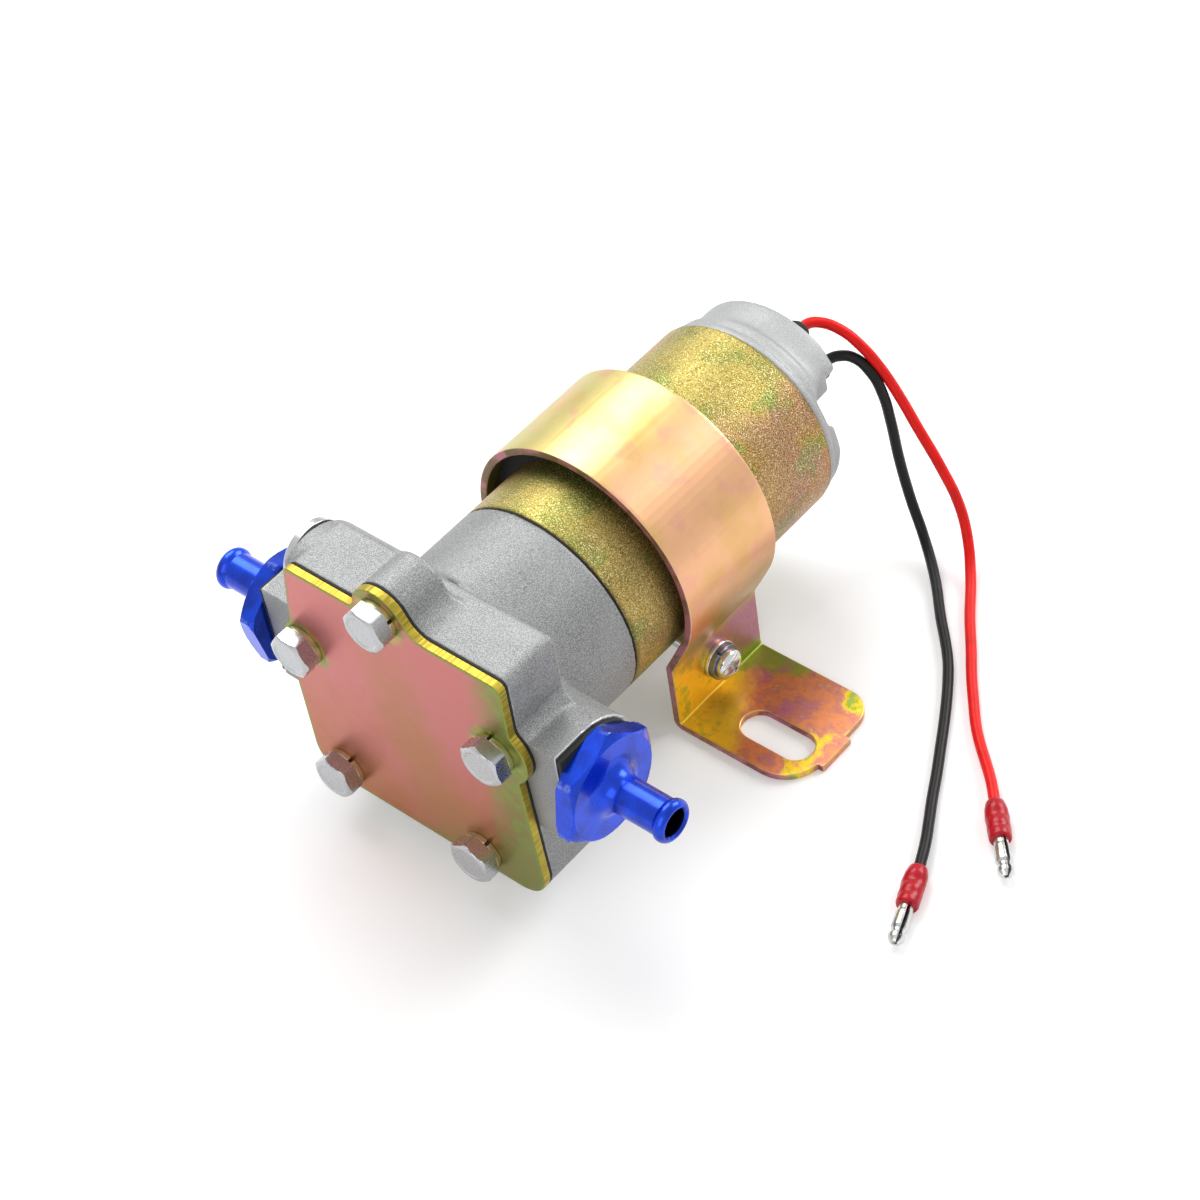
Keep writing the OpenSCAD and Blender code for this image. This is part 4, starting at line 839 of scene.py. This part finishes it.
def makeLamp(name, v, aim):
    data = bpy.data.lights.new(name, "AREA")
    data.size, data.energy = v["size"], v["power"]
    lamp = bpy.data.objects.new(name, data)
    lamp.location = v["place"]
    lamp.rotation_mode = "QUATERNION"
    lamp.rotation_quaternion = (Vector(aim) - Vector(v["place"])).to_track_quat("-Z", "Y")
    bpy.context.scene.collection.objects.link(lamp)


makeFloor(stage)
makeWorld(studio)
for name, lamp in lamps.items():
    makeLamp(name, lamp, studio["aim"])
bpy.context.scene.view_settings.view_transform = "Standard"
print("stage and light made")

# pump head and cover
boltPlaces = [Vector((p.x, 0, p.z)) for p in islands("cover_bolts")]
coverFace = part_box("cover_plate")[0].y
boltMarks = [Vector((p.x, coverFace, p.z)) for p in boltPlaces]
plate = {"round": 0.28, "steps": 3, "cuts": (("x", 1.6), ("z", 1.6))}
coverParts = {"cover_gasket": {"round": 0.12, "steps": 2}, "cover_lock_washers": {"round": 0.16, "steps": 2},
              "relief_cap": {"round": 0.25, "steps": 3}}
soften("cover_plate", plate, marks={"bolt": boltMarks})
for node, v in coverParts.items():
    soften(node, v)


def ringsMesh(rings, placeOf):
    # rings of (along, radius, number) joined into a skin; placeOf gives a point of a ring
    shape = bmesh.new()
    count = len(rings[0])
    made = [[shape.verts.new(placeOf(along, radius, 2 * math.pi * k / count) * mm)
             for along, radius, k in ring] for ring in rings]
    for here, there in zip(made, made[1:]):
        for i in range(count):
            j = (i + 1) % count
            shape.faces.new((here[i], here[j], there[j], there[i]))
    if rings[0] is not rings[-1]:
        shape.faces.new(made[0])
        shape.faces.new(made[-1][::-1])
    bmesh.ops.remove_doubles(shape, verts=shape.verts, dist=0.002 * mm)
    bmesh.ops.recalc_face_normals(shape, faces=shape.faces)
    return meshOf(shape, "rings")


def fromFlat(angle):
    # the angle from the middle of the nearest side of a hexagon that has one at 0
    return (angle + math.pi / 6) % (math.pi / 3) - math.pi / 6


# a bolt: the face's rings are given by their share of the dish and of the flats
bolt = {"head": 4.2, "around": 7, "chamfer": 30, "dish": 0.22, "corner": 0.12, "shank": 3, "point": 0.5,
        "gap": 0.02, "face": ((1, 0.3), (1, 0.36), (0, 0.405), (0, 0.45)), "rim": 0.468, "edge": 0.08,
        "steps": 5, "parts": 72, "sharp": 24}


def hexagonRings(v, low, high, flats):
    # from the outer face (low) to the seat (high); the chamfer cuts the corners in curves
    tip, rim = flats / 2 / math.cos(math.pi / 6), flats * v["rim"]

    def ring(y, most):
        sides = [flats / 2 / math.cos(fromFlat(2 * math.pi * k / v["parts"])) for k in range(v["parts"])]
        return [(y, min(side, tip - v["corner"], most), k) for k, side in enumerate(sides)]

    rings = [ring(low + v["dish"] * dish, flats * share) for dish, share in v["face"]]
    for k in range(v["steps"] + 1):
        most = rim + (tip - rim) * k / v["steps"]
        rings.append(ring(low + v["edge"] + (most - rim) * math.tan(math.radians(v["chamfer"])), most))
    return rings + [ring(high, tip)]


def boltTurn(v, middle):
    # the turn of a bolt's hexagon and its flats, from the farthest point of its head
    shape = welded("cover_bolts")
    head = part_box("cover_bolts")[0].y + v["head"] * mm
    away = [vertex.co - Vector((middle.x, vertex.co.y, middle.z)) for vertex in shape.verts
            if vertex.co.y < head]
    far = max((p for p in away if p.length < v["around"] * mm), key=lambda p: p.length)
    shape.free()
    return math.atan2(far.z, far.x) + math.pi / 6, far.length / mm * 2 * math.cos(math.pi / 6)


def boltMesh(v, middle):
    face, last = (corner.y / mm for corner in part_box("cover_bolts"))
    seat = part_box("cover_lock_washers")[0].y / mm - v["gap"]
    turned, flats = boltTurn(v, middle)
    rings = hexagonRings(v, face, seat, flats)
    for y, r in ((seat, v["shank"]), (last - v["point"], v["shank"]), (last, v["shank"] - v["point"])):
        rings.append([(y, r, k) for k in range(v["parts"])])

    def place(along, reach, angle):
        angle += turned
        return Vector((middle.x / mm + reach * math.cos(angle), along, middle.z / mm + reach * math.sin(angle)))

    return ringsMesh(rings, place)


boltSet = joined([boltMesh(bolt, middle) for middle in boltPlaces], "bolts")
addPiece("cover_bolt_set", shaded(boltSet, bolt["sharp"]), "cover_bolts")

# the head stays crisp at its machined face, its skirt's end and its port faces
head = {"grain": 0.5, "sharp": 30, "rounds": 8, "factor": 0.5, "face": 1.3, "skirt": 1.5, "port": 1.5,
        "portTop": 64, "least": 0.12}
headFace, skirtEnd = (corner.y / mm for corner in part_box("pump_head"))


def headHeld(p):
    near = min((p.y - headFace) / head["face"], (skirtEnd - p.y) / head["skirt"])
    if p.z < head["portTop"]:
        near = min(near, (portSide - seal["thick"] - abs(p.x)) / head["port"])
    return max(head["least"], min(1, near))


recast("pump_head", head, headHeld)
print("pump head made")


def fittingRings(v, inner, start, tip):
    # from the thread, over hexagon, neck, stem and bead, to the mouth and back inside
    wide, end = v["flats"] / 2, start + v["hexagon"]

    def ring(x, most, flat=False):
        sides = [wide / math.cos(math.pi / 6 - abs(fromFlat(2 * math.pi * i / v["parts"])))
                 for i in range(v["parts"])]
        return [(x, min(side, most) if flat else most, i) for i, side in enumerate(sides)]

    rings = [ring(tip - v["deep"], v["bore"]), ring(inner, v["bore"]), ring(inner, v["thread"]),
             ring(start, v["thread"])]
    rings += [ring(start + x, wide + more, True) for x, more in v["back"]]
    for k in range(v["steps"] + 1):
        rings.append(ring(end - v["bevel"] * (1 - k / v["steps"]),
                          wide + v["corner"] - (v["corner"] + v["inset"]) * k / v["steps"], True))
    for k in range(v["steps"] + 1):
        angle = math.pi / 2 * k / v["steps"]
        rings.append(ring(end + v["neck"] * (1 - math.cos(angle)),
                          v["stem"] + v["neck"] * (1 - math.sin(angle))))
    rings.append(ring(tip - v["beadLength"], v["stem"]))
    rings += [ring(tip - back, v["bead"] - low) for back, low in v["beadSteps"]]
    rings.append(ring(tip, v["bore"] + v["mouth"]))
    return rings + rings[:1]


def makeFitting(v, node, side):
    # side 1 is +X and side -1 is -X
    inner, tip = sorted(abs(corner.x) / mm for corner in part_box(node))
    back, up = v["axis"]
    hexagon = v["flats"] / 2 + v["corner"] - v["band"]

    def place(along, reach, angle):
        angle += math.radians(v["turned"])
        return Vector((side * along, back + side * reach * math.cos(angle), up + reach * math.sin(angle)))

    mesh = ringsMesh(fittingRings(v, inner, portSide, tip), place)
    corners = []
    for edge in mesh.edges:
        ends = [mesh.vertices[k].co for k in edge.vertices]
        if min(math.hypot(p.y / mm - back, p.z / mm - up) for p in ends) > hexagon:
            corners += [p.copy() for p in ends]
    mesh = shaded(mesh, v["sharp"])
    keepDistance(mesh, "edge", corners)
    addPiece(node + "_turned", mesh, node)


for node, side in (("outlet_fitting", 1), ("inlet_fitting", -1)):
    makeFitting(fitting, node, side)
soften("port_seals", seal)
print("fittings made")

# motor
motor = {"bevel": 0.35, "lip": 0.1, "wall": 2.2, "parts": 192}


def makeCase(v):
    low, high = caseBox[0] / mm, caseBox[1] / mm
    outer, centre = (high.x - low.x) / 2, ((low.x + high.x) / 2, 0, (low.z + high.z) / 2)
    inner = outer - v["wall"]
    corners = [(low.y, inner, v["lip"]), (low.y, outer, v["bevel"]), (high.y, outer, v["bevel"]),
               (high.y, inner, v["lip"])]
    mesh = shaded(turn(roundedProfile(corners), "y", centre, v["parts"]))
    addPiece("motor_case_tube", mesh, "motor_case")


makeCase(motor)

# the bell's machined flange stays crisp, and the walls of its bolt pockets are eased the most
bell = {"grain": 0.42, "sharp": 30, "rounds": 190, "factor": 0.5, "flange": 2.4, "rise": 4, "pocket": 13,
        "fade": 5, "away": 0.25, "least": 0.02}
bellStart = caseBox[1].y / mm
tiePlaces = [middle / mm for middle in islands("motor_tie_bolts")]


def bellHeld(p):
    near = min(math.hypot(p.x - place.x, p.z - place.z) for place in tiePlaces)
    pocket = min(1, max(bell["away"], (bell["pocket"] - near) / bell["fade"]))
    return max(bell["least"], min(1, (p.y - bellStart - bell["flange"]) / bell["rise"]) * pocket)


recast("end_bell", bell, bellHeld)

# a grommet is a wide collar and a nose round its wire
grommet = {"sunk": 0.6, "collar": 3.3, "thick": 1.6, "nose": 2.9, "tip": 2.3, "hole": 1.3, "round": 0.5,
           "mouth": 0.2, "parts": 48}


def makeGrommets(v):
    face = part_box("end_bell")[1].y / mm
    profile = roundedProfile([
        (face - v["sunk"], v["hole"], 0), (face - v["sunk"], v["collar"], 0),
        (face + v["thick"], v["collar"], v["round"]), (face + v["nose"], v["tip"], v["round"]),
        (face + v["nose"], v["hole"], v["mouth"])])
    parts = [turn(profile, "y", (middle.x / mm, 0, middle.z / mm), v["parts"])
             for middle in islands("wire_grommets")]
    addPiece("wire_grommets_moulded", shaded(joined(parts, "grommets")), "wire_grommets")


makeGrommets(grommet)
print("motor made")

# bracket and clamp
strap = {"thick": 2.0, "round": 0.3, "steps": 3, "cuts": (("y", 1.8), ("x", 1.2), ("z", 1.2))}
clamp = {"round": 0.18, "steps": 2}
axisHeight = (caseBox[0].z + caseBox[1].z) / 2 / mm
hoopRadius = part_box("strap_bracket")[1].z / mm - axisHeight
soften("strap_bracket", strap, radii=(hoopRadius, hoopRadius - strap["thick"]), height=axisHeight)
for node in ("clamp_screw", "clamp_spring_washer", "clamp_flat_washer", "clamp_nut"):
    soften(node, clamp)
print("bracket made")

# springs, with the joints that would move them, and their places and travels in millimetres; here each coil
# only keeps its shape, shaded smooth
springs = {"relief_spring": {"joint": "relief_lift", "travel": 3.0, "fixed": -31.0},
           "brush_spring_a": {"joint": "brush_lift_right", "travel": 1.5, "fixed": 20.0},
           "brush_spring_b": {"joint": "brush_lift_left", "travel": 1.5, "fixed": -20.0}}
wireAngle = 60  # the facets of their round wire are shaded smooth
for node, v in springs.items():
    coil = addPiece(node + "_coil", shaded(nodes[node].data.copy(), wireAngle), node)
    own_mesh(coil)

# every other part keeps its shape and takes its finish
for name, part in nodes.items():
    part.data.materials.clear()
    part.data.materials.append(finishes[slotOf[name]].material)
